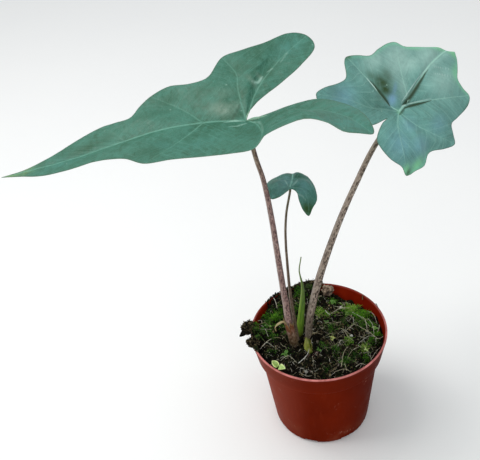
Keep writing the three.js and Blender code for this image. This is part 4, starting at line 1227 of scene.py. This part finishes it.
def make_crumbs(material):
    """Loose crumbs of peat and bark, sunk a third into the soil."""
    parts = []
    for _ in range(CRUMB_COUNT):
        x, y = clear_spot(CRUMB_REACH)
        size = 0.45 + 1.1 * draw.random() ** 2.5
        half = np.array([1, 0.55 + 0.45 * draw.random(), 0.45 + 0.4 * draw.random()]) * size
        points = lump(0.25, half) + [x, y, ground(x, y) + 0.2 * size]
        parts.append((points, CRUMB_FACES, draw.random() ** 1.9 * 0.9))
    for x0, y0, spread, count, low in PALE_CRUMBS:
        for _ in range(count):
            x, y = x0 + spread * (draw.random() - 0.5) * 2, y0 + spread * (draw.random() - 0.5)
            size = 0.4 + 0.5 * draw.random()
            points = lump(0.3, [size, 0.7 * size, 0.6 * size]) + [x, y, ground(x, y) + 0.3 * size]
            parts.append((points, CRUMB_FACES, low + (1 - low) * draw.random()))
    paths = [spline(RIM_LITTER), spline(LEFT_LITTER)]
    for number in range(RIM_CRUMB_COUNT):
        path, last = paths[number % 2]
        x, y = path(last * draw.random())[0, :2]
        out = 1 + draw.normal(-1.2, 2.6 - number % 2) / math.hypot(x, y)
        x, y = x * out, y * out
        reach = math.hypot(x, y)
        size = 0.45 + 1.0 * draw.random() ** 2
        if reach > 60.8 or reach < 50:
            continue
        level = POT["height"] if reach > 57.2 else ground(x, y) - 0.2
        z = level + 0.5 * size + 1.5 * draw.random() * smooth(reach, 52, 57) * (1 - smooth(reach, 58, 61))
        points = rested(lump(0.4, [size, 0.7 * size, 0.5 * size]) + [x, y, z])
        parts.append((points, CRUMB_FACES, draw.random() ** 2.2 * 0.84))
    heap("peat_crumbs", parts, ["hue"], material, flat=True)


def blade_of_grass(root, tip, width, bend, side):
    """A thin keeled leaf of three narrow sides."""
    root, tip = np.array(root, float), np.array(tip, float)
    across = np.array([math.cos(side), math.sin(side), 0]) * width / 2
    thin = np.array([0, 0, 0.12 * width + 0.04])
    points = []
    for centre, share in ((root, 0.7), ((root + tip) / 2 + bend, 1.0), (tip, 0.1)):
        points += [centre - across * share, centre + thin, centre + across * share]
    return np.array(points), [*ring_faces(3, 3), [2, 1, 0], [6, 7, 8]]


# Moss cushions: x, y, spread, number of leaves, height and tone
MOSS = [
    (35, 29, 7.5, 760, 3.8, 0.79), (44, 18, 6.5, 520, 3.2, 0.6), (38, 17, 6, 380, 3.0, 0.6),
    (30, 22, 6, 260, 2.6, 0.5), (-43, 28, 6, 420, 2.8, 0.5), (-35, 24, 6, 420, 3.0, 0.56),
    (-30, 30, 6, 300, 2.6, 0.45), (-44, 16, 6, 320, 2.6, 0.44), (-36, 13, 6, 320, 2.6, 0.45),
    (-49, 6, 6, 300, 2.8, 0.42), (-41, 0, 6, 260, 2.6, 0.42), (-29, 6, 5, 160, 2.2, 0.35),
    (-11, 45, 7, 360, 2.4, 0.42), (-16, 32, 7, 300, 2.4, 0.45), (2, 40, 7, 220, 2.2, 0.38),
    (20, 41, 5, 200, 2.4, 0.5), (5, 26, 5, 260, 2.6, 0.84), (12, 24, 6, 200, 2.2, 0.8),
    (37, -23, 5, 260, 2.6, 0.85), (25, -13, 6, 200, 2.2, 0.8), (47, 4, 6, 320, 2.8, 0.55),
    (50, -8, 5, 260, 2.6, 0.62), (40, 4, 7, 300, 2.4, 0.45), (44, -16, 6, 240, 2.4, 0.5),
    (2, -15, 6, 240, 2.2, 0.4), (18, -36, 8, 360, 2.4, 0.42), (13, -22, 7, 260, 2.2, 0.4),
    (12, 5, 8, 340, 2.2, 0.4), (24, 10, 8, 280, 2.0, 0.32), (26, -30, 8, 260, 2.2, 0.3),
    (-31, -20, 7, 180, 2.0, 0.28), (-43, -16, 6, 160, 2.2, 0.3), (-6, 15, 6, 200, 2.2, 0.42),
    (36, -36, 6, 240, 2.4, 0.45), (-25, 12, 6, 180, 2.2, 0.42), (0, -42, 9, 200, 1.8, 0.25),
]

# Moss on the clods, with the height that it grows from
CLOD_MOSS = [
    (-56.5, 6, 107, 3, 260, 2.4, 0.36), (-55, 11, 107, 2.5, 200, 2.4, 0.45), (-54.5, -4, 106, 3, 220, 2.2, 0.34),
    (-1, 53, 107.5, 6, 420, 2.4, 0.3), (-10, 54, 106.5, 4, 240, 2.2, 0.42), (8, 53.5, 106.5, 4, 200, 2.0, 0.26),
]


def make_moss(material):
    """Small moss leaves, each darker at its root, as painted shade within the cushion, and paler at its tip."""
    parts = []
    on_soil = [(x, y, None, *rest) for x, y, *rest in MOSS]
    for x0, y0, base, spread, count, height, tone in on_soil + CLOD_MOSS:
        for _ in range(count):
            reach = spread * abs(draw.normal()) * 0.6
            across, away = polar(reach, FINE_TURN * draw.random())
            x, y = x0 + across, y0 + away
            if not is_clear(x, y) or (base is None and math.hypot(x, y) > MOSS_REACH):
                continue
            z = ground(x, y) - 0.4 if base is None else base - 0.06 * reach ** 2
            tall = height * (0.5 + 0.7 * draw.random()) * math.exp(-0.4 * (reach / spread) ** 2)
            lean = draw.normal(0, 0.45 * height, 2)
            tip = [x + lean[0], y + lean[1], z + 0.4 + tall]
            bend = np.array([draw.normal(0, 0.3), draw.normal(0, 0.3), 0.25 * tall])
            part = blade_of_grass([x, y, z], tip, 0.35 + 0.35 * draw.random(), bend, TURN * draw.random())
            # Darker at the root as painted shade within the cushion, paler at the tip.
            hues = np.clip(tone + draw.normal(0, 0.15) + np.array([-0.3, 0.0, 0.14]), 0, 1)
            parts.append((*part, np.repeat(hues, 3)))
    heap("moss", parts, ["hue"], material)


def fibre(points, radius, rings=7):
    return tube([[*p, radius] for p in points], rings, 5)[:2]


# Longer fibres seen in the photograph: points on the soil with a height above it, radius and tone.
STRANDS = [
    ([(-10.5, -18.5, 3), (-13, -23.6, 2.6), (-16.8, -29.3, 2.2), (-22.6, -34.7, 1.4)], 0.26, 1.0),
    ([(21.8, -21.3, 2.6), (16.7, -31, 2.2), (12.4, -44.1, 0.8)], 0.24, 0.76),
    ([(16, -38.7, 1.6), (16.1, -44.7, 2), (16, -48.8, 1)], 0.18, 0.8),
    ([(-50.5, -9.9, 1.4), (-46.6, -5.9, 1.6), (-42.2, -2.8, 1.2)], 0.22, 0.85),
    ([(-42.1, -1.9, 1.4), (-35.9, -2.9, 1.6), (-30.6, -4.3, 0.8)], 0.2, 0.6),
    ([(15, 25.3, 1.4), (24.8, 27.6, 2.4), (35, 29.8, 2.6)], 0.22, 0.82),
    ([(42.3, 14.6, 3), (43.2, 5.7, 3), (42.9, -3.8, 1.4)], 0.22, 0.84),
    ([(37.5, 1, 1.4), (44, -6.3, 2.2), (49.5, -14.6, 1.4)], 0.24, 0.8),
    ([(47.3, -15.6, 1.6), (52.3, -14.2, 2.4), (55, -13.1, 3.4)], 0.2, 0.86),
    ([(20.3, 3, 1.6), (22.6, -3.1, 1.8), (24.6, -9.9, 1.6), (28.5, -13.8, 1)], 0.18, 0.78),
    ([(10.7, 28.6, 1.4), (12.3, 23.8, 2.4), (14.5, 22.4, 1.6)], 0.26, 0.95),
    ([(19.8, -10.9, 1.6), (17.2, -14.2, 2.4), (14.5, -18.2, 1)], 0.2, 0.9),
    ([(50, -8, 1.4), (53.4, -3, 2.6), (54.8, 1, 3.2)], 0.26, 0.84),
    ([(24.5, -44.3, 1.2), (30.2, -41, 2.2), (33.8, -42.4, 1.6)], 0.2, 0.86),
    ([(39.2, -32.1, 1.4), (40.1, -36.6, 1.8)], 0.2, 0.9),
    ([(-34.7, 45.4, 3), (-33.4, 37.8, 2.4), (-32.9, 32.5, 1.6)], 0.2, 0.9),
    ([(-52, 23.9, 3.4), (-49.3, 24, 3), (-48.3, 17.8, 1.6)], 0.18, 0.86),
    ([(-46.3, 4.6, 2), (-44.7, -0.5, 1.4)], 0.2, 0.9),
    ([(-51.6, 14.4, 3), (-45.9, 15.4, 3.4), (-41.4, 10.7, 1.6)], 0.24, 0.5),
    ([(-18.6, -18, 1.6), (-20.5, -21.4, 1)], 0.18, 0.9),
    ([(-4.8, 3.4, 1.4), (-2.1, 1, 1.2), (3, -2, 0.8)], 0.18, 0.7),
    ([(34.2, 21.1, 3), (40.5, 11.8, 3.4), (45.9, -0.6, 1.8)], 0.15, 0.9),
    ([(23.2, -3.3, 1.2), (32.1, 1.8, 2.6), (42.4, -2.2, 1.6)], 0.14, 0.82),
    ([(33.3, -16, 1.4), (43.7, -11.3, 2.8), (52.3, -14.9, 2)], 0.15, 0.9),
    ([(16.6, -38.4, 1), (24.8, -27.4, 2.2), (33.9, -20.4, 1.4)], 0.14, 0.75),
    ([(38, -37.8, 1.2), (44.9, -30.7, 2.4), (50.4, -23.2, 1.8)], 0.15, 0.88),
    ([(2.4, -4.2, 1), (10.9, -1.2, 2), (19.5, -6, 1.2)], 0.13, 0.72),
    ([(5.7, -48.7, 1), (15, -47.2, 1.8), (21.7, -51.2, 1.2)], 0.14, 0.8),
    ([(-53.9, 9, 1.6), (-47.3, 5.4, 2.4), (-40.6, 7.7, 1.4)], 0.16, 0.92),
    ([(-53.3, -11.8, 1.4), (-47, -7.8, 2.2), (-40.9, -9.9, 1.2)], 0.16, 0.92),
    ([(-37, -29.6, 1.2), (-30.4, -26.5, 2), (-23.5, -31.8, 1.2)], 0.15, 0.85),
    ([(-23.6, -43.9, 1), (-16.7, -48, 1.6), (-8.9, -46.3, 1)], 0.14, 0.85),
    ([(15.8, 37.6, 1.4), (23.3, 32.6, 2.4), (30.3, 35, 1.4)], 0.14, 0.85),
    ([(46.7, 10.7, 2.6), (48.2, -1, 3), (47.9, -9.8, 1.6)], 0.15, 0.92),
    ([(8.4, 14, 1.2), (18, 10.5, 2.2), (29, 13.5, 1.4)], 0.14, 0.8),
    ([(48.5, 22.5, 1.8), (52, 12, 2.8), (53.2, 3, 2)], 0.14, 0.88),
]


def make_fibres(material):
    parts = [(*fibre([[x, y, ground(x, y) + up] for x, y, up in places], radius, 16), hue)
             for places, radius, hue in STRANDS]
    for number in range(FIBRE_COUNT):
        if number % 3:
            x, y = clear_spot(FIBRE_REACH)
        else:
            x, y = 26 + draw.normal(0, 14), -6 + draw.normal(0, 20)
            if math.hypot(x, y) > FIBRE_REACH:
                continue
        angle, length = FINE_TURN * draw.random(), 2 + 9 * draw.random() ** 2
        curl = draw.normal(0, 0.5)
        path = []
        for t in (0.0, 0.3, 0.65, 1.0):
            across, away = polar(length * t, angle + curl * t)
            px, py = x + across, y + away
            if math.hypot(px, py) > 55:
                shrink = 55 / math.hypot(px, py)
                px, py = px * shrink, py * shrink
            arch = (0.3 + 1.3 * draw.random()) * math.sin(math.pi * (0.12 + 0.8 * t))
            path.append([px, py, ground(px, py) + arch - (0.5 if t == 0 else 0)])
        part = fibre(path, 0.07 + 0.09 * draw.random())
        parts.append((*part, np.clip(draw.normal(0.62, 0.28), 0, 0.95)))
    heap("root_fibres", parts, ["hue"], material)


# Clods on the rim: centre, half sizes, crumbs, and the point that one end is drawn out to.
CLODS = {
    "rim_clod_upper": ([-60.6, 9.4, 107.2], [7.2, 7.8, 3.7], 640, [-68.6, 1.8, 105]),
    "rim_clod_lower": ([-58.4, -8.6, 105.9], [5.4, 5.6, 3.1], 460, [-65.2, -4.9, 104.8]),
    "rim_clod_back": ([0, 56, 107.4], [13.5, 4.0, 3.2], 700, [-16.5, 55.6, 105.8]),
}


def make_clod(node, material):
    """A crumbly clump of peat and bark that rests on the rim: a rough core with crumbs and shards."""
    centre, half, count, tip = (np.array(v) if isinstance(v, list) else v for v in CLODS[node])
    core, core_faces = ball(5)
    reach = np.linalg.norm((tip - centre) / half)
    drawn, toward = (tip - centre) / reach, (tip - centre) / half / reach
    pull = np.clip(core @ toward, 0, 1)[:, None] ** 6
    craggy = 1 + 0.3 * rough(core * 4 + centre[0], 2.4, 4) + 0.1 * rough(core * 4 + centre[0], 0.5, 2)
    skin = core * half * 0.8 * craggy[:, None] + pull * (tip - centre - 0.8 * drawn) + centre
    parts = [(rested(skin), core_faces, 0.3)]
    for _ in range(count):
        way = unit(draw.normal(0, 1, 3))
        near = max(float(way @ toward), 0) ** 6
        at = way * half * (0.78 + 0.2 * draw.random()) + near * 0.8 * (tip - centre - drawn) + centre
        size = 0.4 + 1.0 * draw.random() ** 2
        flat = np.array([1, 0.4 + 0.4 * draw.random(), 0.25 + 0.35 * draw.random()]) * size
        parts.append((rested(lump(0.4, flat) + at), CRUMB_FACES, min(draw.random() ** 1.4 * 0.95, 0.87)))
    for _ in range(count // 9):
        way = draw.normal(0, 1, 3)
        way[2] = abs(way[2])
        way = unit(way)
        foot = way * half * 0.85 + centre
        end = foot + unit(way + draw.normal(0, 0.5, 3)) * (1.2 + 2.2 * draw.random())
        points, faces = fibre([foot, (foot + end) / 2 + draw.normal(0, 0.25, 3), end], 0.08 + 0.14 * draw.random(), 6)
        parts.append((rested(points), faces, 0.6 + 0.26 * draw.random()))
    heap(f"{node}_crumbs", parts, ["hue"], material, [node], flat=True)


# The bark chip's outline as seen from the camera, in millimetres from its middle.
CHIP_OUTLINE = [(-5.3, 1.5), (-2.4, 4.8), (3.2, 3.7), (4.9, 0.2), (0.8, -4.6), (-3.4, -3.3)]
CHIP_THICKNESS = 4.4


def make_bark_chip(material):
    """An angular flake of bark with a rough, split grain."""
    low, high = node_box("bark_chip")
    core, faces = ball(6)
    up, view = np.array(UPRIGHT), np.array(BACK)
    reach = np.full(len(core), 99.0)
    walls = []
    for (x0, u0), (x1, u1) in zip(CHIP_OUTLINE, CHIP_OUTLINE[1:] + CHIP_OUTLINE[:1]):
        out = np.array([u0 - u1, x1 - x0]) / math.hypot(x1 - x0, u1 - u0)
        walls.append((out[0] * np.array([1, 0, 0]) + out[1] * up + 0.35 * view, abs(out @ [x0, u0])))
    half = CHIP_THICKNESS / 2
    walls += [(view + 0.35 * up, half), (view - 0.3 * up, half + 0.2), (-view, half)]
    for normal, offset in walls:
        toward = core @ unit(normal)
        reach = np.minimum(reach, offset / np.maximum(toward, 0.02))
    grain = rough(core * [1.6, 7, 7] + 3, 2.0, 4)
    points = core * (reach * (1 + 0.17 * grain + 0.13 * rough(core * 6, 1.2, 3)))[:, None] + (low + high) / 2
    piece("bark_flake", points, faces, material, replaces=["bark_chip"])


# Perlite grains and the seed of each one's pits. The last is a greyer one.
GRAINS = {"perlite_1": 7, "perlite_2": 14, "perlite_3": 21}
GREY_GRAIN = "perlite_3"


def make_grain(node, material):
    """A perlite grain with a blistered, pitted skin."""
    low, high = node_box(node)
    core, faces = ball(5)
    place = core * 3 + GRAINS[node]
    skin = 0.92 + 0.16 * rough(place, 2.5, 3) - 0.12 * (np.abs(rough(place, 0.9, 2)) < 0.08)
    skin /= np.abs(core * skin[:, None]).max()
    points = core * skin[:, None] * ((high - low) / 2) + (low + high) / 2
    grey = np.full(len(core), 0.75 if node == GREY_GRAIN else 0.0)
    piece(f"{node}_grain", points, faces, material, {"hue": grey}, [node])


# The weed seedling: a thin stem, and two leaves as (foot, tip, width, roll, tone).
SEEDLING_STEM = [[-37.5, -38, 99, 0.55], [-38.8, -39.2, 103.6, 0.45], [-40, -40.8, 106.8, 0.35]]
SEEDLING_LEAVES = [
    ([-40.4, -40.4, 106.8], [-44.7, -34.0, 108], 5.2, -0.25, 0.62),
    ([-39.7, -41.4, 106.8], [-34.5, -44.4, 108], 5.8, 0.2, 0.78),
]

# Other small weeds on the soil: x, y, height, leaves, leaf length and tone.
HERBS = [
    (-32.4, -21.5, 2.4, 3, 4.2, 0.3), (10.6, -8, 1.6, 5, 2.6, 0.95), (12.6, -7, 1.6, 2, 1.6, 1.0),
    (19.6, 38, 2, 6, 3.0, 0.34), (27, 37, 1.6, 2, 1.6, 0.5), (-2.8, -19, 1.4, 3, 2.6, 0.36),
    (9.5, 14, 1.6, 3, 3.4, 0.2), (13, -38, 1.4, 4, 2.2, 0.42), (38, -25, 1.8, 5, 2.6, 0.85),
    (30, 22, 2, 4, 2.4, 0.5), (-43, 14, 2, 3, 3.6, 0.34), (50, -3, 2.2, 4, 3.0, 0.4),
]


def make_herbs(material):
    parts = [(*tube(SEEDLING_STEM, 14, 10)[:2], 1, 0.5)]
    for foot, tip, width, roll, tone in SEEDLING_LEAVES:
        parts.append((*small_leaf(foot, tip, width, roll, 0.4, 0.12, 26, 17, 0.6), tone))
    heap("seedling_plant", parts, ["rim", "tone"], material, ["seedling"])
    parts = []
    for x, y, height, count, length, tone in HERBS:
        z = ground(x, y)
        first = TURN * draw.random()
        for i in range(count):
            angle = first + TURN * i / count + draw.normal(0, 0.25)
            reach = length * (0.8 + 0.4 * draw.random())
            c, s = polar(1, angle)
            foot = [x + 0.2 * c, y + 0.2 * s, z + height * (0.5 + 0.3 * draw.random())]
            tip = [x + reach * c, y + reach * s, z + height + draw.normal(0, 0.4)]
            leaf = small_leaf(foot, tip, 0.62 * reach, draw.normal(0, 0.3))
            parts.append((*leaf, np.clip(tone + draw.normal(0, 0.05), 0, 1)))
        parts.append((*fibre([[x, y, z - 0.8], [x, y, z + 0.6 * height]], 0.25), 1, tone))
    heap("small_weeds", parts, ["rim", "tone"], material)


# Flat scraps on the soil: path, widths, turns and tone
SCRAPS = [
    ([[-39.5, -38.4, 100.6], [-33.6, -43.3, 100.4], [-26.8, -48.2, 100.2]], (2.4, 1.4), (0.9, 1.2), 0.72),
    ([[-60.8, 4.5, 109], [-55.2, 6.4, 108.6], [-49.3, 7.6, 105.4]], (1.0, 0.6), (0.4, 1.6), 0.82),
    ([[-63.5, 9, 109.6], [-60, 5.5, 109.8], [-58.5, 1.2, 107.6]], (1.1, 0.4), (0.2, 0.9), 0.78),
    ([[-55.3, 13, 108.4], [-52.6, 12.4, 106.6], [-50.2, 9.4, 103.6]], (0.9, 0.5), (0.5, 1.2), 0.84),
    ([[56, 22, 101.2], [56.8, 18.6, 102.6], [56.4, 15.6, 104.4]], (0.8, 0.3), (0.3, 0.6), 0.84),
    ([[46.2, 33.2, 101], [46.4, 34.4, 103], [47.4, 34.6, 104.2]], (1.0, 0.6), (0.3, 0.9), 0.8),
]


def make_scraps(material):
    parts = []
    for path, widths, turns, hue in SCRAPS:
        points, faces, _ = shred(path, widths, SCRAP_THICKNESS, turns)
        parts.append((rested(points), faces, hue))
    tidy_mesh(heap("bark_scraps", parts, ["hue"], material), 0.001)


# How each blade is dressed. Soft spots are (along, across, half length, half width, turn,
# weight), and strokes are paths of (along, across, half width) with a weight.
# The dark spots are dark patches with painted shade, the bloom spots waxy bloom with painted sheen, the sky spots a
# painted reflection of the sky, and the groove strokes painted shade along the vein grooves.
LEFT_LOOK = {
    "spacing": 8.5, "fold": 0.3, "fade": 2.2, "ridge": 0.2, "quilt": 0.1,
    "ripple": 0.3, "rib": 1.5, "line": 0.6, "line_width": 0.75, "border": 0.0, "border_width": 4,
    "faint": {("left", 0): 0.25, ("right", 0): 0.25, ("right", 1): 0.7},
    "dark_patch_and_shade": [
        (112, -4, 14, 4, 8, 0.75), (98, -7, 9, 4, 20, 0.5), (66, 25, 11, 7, 30, 0.5),
        (52, -28, 9, 6, 20, 0.6), (29, -28, 8, 5, 10, 0.5), (1, -45, 7, 5, 60, 0.55), (6, -5, 9, 2.5, 10, 0.6),
        (-20, -40, 7, 4, 60, 0.4),
        (-22, -62, 12, 7, 30, 0.3), (2, -23, 6, 5, 0, 0.4), (70, -15, 9, 4, 0, 0.4),
        (-20, 12, 14, 7, 40, 0.3),
    ],
    "bloom_and_sheen": [
        (15, -11, 8, 4.5, -20, 1.0), (7, -13, 5, 4, 0, 0.7), (-7, -32, 5, 1.6, -60, 0.6),
        (-13, -36, 3, 1.6, -40, 0.6), (12, -24, 8, 6, 0, 0.3),
    ],
    "skylight": [
        (-36, -58, 12, 9, 30, 0.55), (54, 20, 13, 5, -20, 0.3), (128, 3, 16, 4, 0, 0.35),
        (-66, 26, 14, 12, 30, 0.45), (-62, 52, 16, 16, 0, 0.55), (30, 30, 16, 8, 0, 0.25),
    ],
    "gold": [(176, -1, 9, 5, 0, 0.95), (163, -1, 9, 5, 0, 0.45)],
    "groove_shade": [([(9, -3, 0.6), (5, -9, 1.0), (3, -14, 0.6)], 0.5)],
    "shine": [
        ([(15, 0, 0.3), (8, -1, 1.0), (1, 2, 0.4)], 0.6), ([(11, 9, 0.2), (5, 9.5, 0.9), (0, 6, 0.4)], 0.65),
        ([(-3, 3, 0.4), (-9, 11, 0.7), (-11, 22, 0.8), (-11, 31, 0.3)], 0.3),
        ([(-7.3, -31.5, 0.5), (-11, -31.8, 1.0), (-14.7, -36.3, 0.5)], 0.7),
        ([(-18.6, -39.7, 0.3), (-22, -41.7, 0.6)], 0.5), ([(-29, -46, 0.4), (-34, -53, 0.8)], 0.3),
    ],
}
RIGHT_LOOK = {
    "spacing": 8, "fold": 0.35, "fade": 2.6, "ridge": 0.4, "quilt": 0.07,
    "ripple": 0.3, "rib": 1.5, "line": 0.8, "line_width": 0.65, "border": 0.7, "border_width": 5,
    "border_at": [
        (70, 30, 45, 25, -35, 1), (95, -22, 26, 24, 0, 1), (20, 48, 22, 12, 0, 0.5), (-28, -36, 14, 8, 0, 0.9),
    ],
    "folds": {("midrib", 0): 1.2, ("left", 1): 1.2, ("right", 0): 0.8},
    "faint": {("left", 0): 0.75, ("left", 2): 0.35, ("right", 1): 0.5, ("right", 2): 0.5},
    "dark_patch_and_shade": [
        (9.5, 23, 8, 8.5, -10, 1.0), (17, 23, 9, 6, 30, 0.7), (6.5, 18, 6, 6, 0, 1.05),
        (8.5, 32, 4, 6, 0, 0.6), (-9, 17, 8, 5, 0, 0.35), (-18, 22, 11, 8, 20, 0.25), (-33, 45, 8, 6, 0, 0.25),
        (9, 55.5, 4, 2.8, 0, 1.2), (-36.5, -32.5, 2.4, 2, 0, 1.3), (60, -41, 10, 1.6, 0, 0.6),
    ],
    "bloom_and_sheen": [
        (44, 25, 28, 14, 10, 0.72), (48, 17, 22, 9, -20, 0.72), (72, 8, 22, 12, 0, 0.65),
        (58, -12, 20, 12, 0, 0.5), (24, 38, 16, 9, 0, 0.62), (24, 10, 14, 5, 30, 0.5), (90, 0, 12, 8, 0, 0.4),
    ],
    "skylight": [
        (4, 10, 5.5, 3.6, 20, 1.1), (13, 12.8, 7, 1.8, 18, 0.7), (-28, -14, 12, 9, 30, 0.35),
        (-19, -26, 10, 7, 0, 0.35), (15, -29, 10, 6, 0, 0.3), (-8, -12, 10, 6, 0, 0.3), (-31, 38, 12, 9, 0, 0.4),
    ],
    "gold": [
        (101, -7, 5, 5, 0, 0.8), (93, 5, 8, 3.5, -40, 0.7), (-37, -30, 2.6, 3, 0, 0.8), (-28, -33.5, 6, 3, -10, 0.7),
        (0, 0, 2.2, 2.2, 0, 0.4), (72, 22, 8, 3, 130, 0.35), (80, -18, 10, 4, 20, 0.5), (71, -30, 3, 7, 0, 0.4),
    ],
    "groove_shade": [
        ([(8, 0.7, 0.6), (16, 0.2, 1.9), (28, 0.4, 1.9), (44, 1.1, 1.2), (59, 1.8, 0.3)], 1.0),
        ([(-2, -1.6, 0.7), (3, -1.8, 1.1), (8, -1.2, 0.6)], 0.7),
        ([(6, -1.4, 0.6), (14, -5.4, 1.5), (22, -9.9, 1.0), (31, -14.2, 0.3)], 1.0),
        ([(4.6, 31, 0.3), (2.6, 23.2, 1.0), (1, 17.8, 1.4), (-0.5, 12.4, 1.3), (-1.6, 7.4, 0.4)], 1.0),
    ],
    "shine": [
        ([(4.4, 34, 0.2), (2.8, 28, 0.45), (0.9, 22, 0.2)], 0.7), ([(-2.4, 14, 0.3), (-4, 9, 0.4)], 0.3),
        ([(8, 2.8, 0.3), (24, 3.4, 0.42), (42, 3.6, 0.42), (60, 2.8, 0.3)], 0.6),
        ([(7, 0.6, 0.3), (15, -3.6, 0.3), (23, -8.2, 0.3), (32, -13, 0.25)], 0.6),
        ([(66, -1, 0.3), (72, -6.5, 0.5), (79, -13, 0.3)], 0.3),
        ([(59, -3.5, 0.3), (65, -10, 0.5), (71, -16.5, 0.3)], 0.3),
    ],
}
SMALL_LOOK = {
    "spacing": 4.5, "fold": 0.25, "fade": 1.5, "ridge": 0.15, "quilt": 0.04,
    "ripple": 0.1, "rib": 0.7, "line": 0.8, "line_width": 0.42, "border": 0.2, "border_width": 1.4,
    "border_at": [(0, 0, 60, 60, 0, 1)],
    "faint": {("left", 0): 0.3, ("left", 1): 0.35, ("right", 0): 0.3, ("right", 1): 0.35},
    "dark_patch_and_shade": [(-11, -14.5, 6, 5.4, 0, 1.4), (25, -9, 6, 4, 30, 0.4), (14, 14, 8, 5, 0, 0.4), (20, -8, 6, 4, 0, 0.3)],
    "skylight": [(8, 4, 8, 5, 0, 0.5), (4, -10, 6, 5, 0, 0.4)],
    "shine": [
        ([(2, -1.5, 0.2), (6, -4, 0.5), (11, -5.5, 0.2)], 0.5), ([(2, 1.5, 0.2), (7, 3.5, 0.5), (12, 5, 0.2)], 0.5),
        ([(0, -4, 0.2), (-2, -9, 0.4), (-5, -12, 0.2)], 0.35),
    ],
    "gold": [(-11, -13, 2.5, 2.5, 0, 0.4)],
}

# Assembly
place_camera((-0.058, -0.4687, 0.5824), math.radians(-7))
bpy.context.scene.view_settings.view_transform = "Standard"
bpy.context.scene.world = bpy.data.worlds.new("studio")
bpy.context.scene.world.use_nodes = True
skylight = bpy.context.scene.world.node_tree.nodes["Background"]
skylight.inputs["Color"].default_value = (0.95, 0.98, 1.0, 1)
skylight.inputs["Strength"].default_value = 0.6
place_light("key", (-0.65, 0.1, 1.5), (0, 0, 0.2), 0.8, 13, (1.0, 0.99, 0.97))
place_light("fill", (0.3, -1.3, 0.9), (0, 0, 0.15), 1.0, 2.6, (0.97, 0.99, 1.0))

# The floor reaches this far each way, just under the pot
FLOOR_REACH, FLOOR_LEVEL = 2500, -0.2
corners = [[FLOOR_REACH * x, FLOOR_REACH * y, FLOOR_LEVEL] for x, y in ((-1, -1), (1, -1), (1, 1), (-1, 1))]
floor = piece("floor", corners, [[0, 1, 2, 3]], floor_material(), ride=False)

# Each blade's tones: deep, middle, light, cloud, dark patch with painted shade, waxy bloom with painted sheen, painted
# sky reflection, painted groove shade and glint.
left_blade = leaf_material(
    "left_blade",
    ["295e48", "326854", "3b7360", "46806f", "225034", "76907f", "4a8a80", "22452e", "9cc4b4"],
    "6ea692", "95b264", "5cb288", "7d9f86", 0.4,
)
right_blade = leaf_material(
    "right_blade",
    ["4e8078", "5a9087", "689e95", "78aea4", "26441f", "a8cfc4", "78a6c0", "1f3a20", "d4eee6"],
    "a4d6c4", "82d496", "80d2a8", "86a893", 0.42, 0.35,
)
small_blade = leaf_material(
    "small_blade",
    ["33625a", "3e7268", "4a8076", "588f86", "244c1e", "7f9f95", "6a98a0", "1f4232", "b6d8cc"],
    "86bcae", "8fb35a", "459a6c", "6f8f80", 0.4,
)
make_blade("left_leaf_blade", "blade_left", LEFT_LEAF, LEFT_LOOK, left_blade, 84, 30)
make_blade("right_leaf_blade", "blade_right", RIGHT_LEAF, RIGHT_LOOK, right_blade, 84, 30)
make_blade("small_leaf_blade", "blade_small", SMALL_LEAF, SMALL_LOOK, small_blade, 36, 16)

mauve = petiole_material("mauve_stalk", ["8a6962", "9b7d75", "ad9289"], "3a2225", "7c6048", "6b6a3c", 0.65)
blotched = petiole_material("blotched_stalk", ["958375", "a79686", "baab9b"], "2e201a", "7c7260", "7a6a50", 0.9)
thin_stalk = petiole_material("thin_stalk", ["5c4e3e", "6e5c4a", "80705a"], "33261c", "8c7860", "55562f", 0.35)
make_petiole("left_stalk", "petiole_left", LEFT_PETIOLE, LEFT_LEAF, 1.6, mauve, 0.6)
make_petiole("right_stalk", "petiole_right", RIGHT_PETIOLE, RIGHT_LEAF, 2.0, blotched, 2.4)
make_petiole("small_stalk", "petiole_small", SMALL_PETIOLE, SMALL_LEAF, 0.9, thin_stalk, 0)

make_new_leaf(fresh_material(
    "rolled_leaf",
    [(0.0, "363018"), (0.17, "484420"), (0.24, "5a7e1e"), (0.4, "527e20"), (0.52, "3c6420"), (0.64, "33481c"),
     (0.8, "3c5024"), (1.0, "4c5a30")],
    "35561a", "98bc44",
))
make_side_shoot(fresh_material(
    "bud_skin", [(0.0, "6a6a30"), (0.35, "869436"), (0.6, "9cac40"), (0.8, "8a9438"), (1.0, "5f4a24")],
    "4a5a20", "bcc860",
))

make_pot(plastic_material())
make_soil(peat_material())
crumbs = crumb_material()
make_crumbs(crumbs)
make_moss(moss_material())
make_fibres(fibre_material())
for node in CLODS:
    make_clod(node, crumbs)
make_scraps(crumbs)
wood = papery_material("bark_wood", [(0.32, "33261d"), (0.46, "6e5a4a"), (0.62, "b09a84")], "241a13")
make_bark_chip(wood)
grain = grain_material()
for node in GRAINS:
    make_grain(node, grain)
make_herbs(herb_material())
make_sheath(sheath_material())
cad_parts["corm"].data.materials.clear()
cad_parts["corm"].data.materials.append(wood)
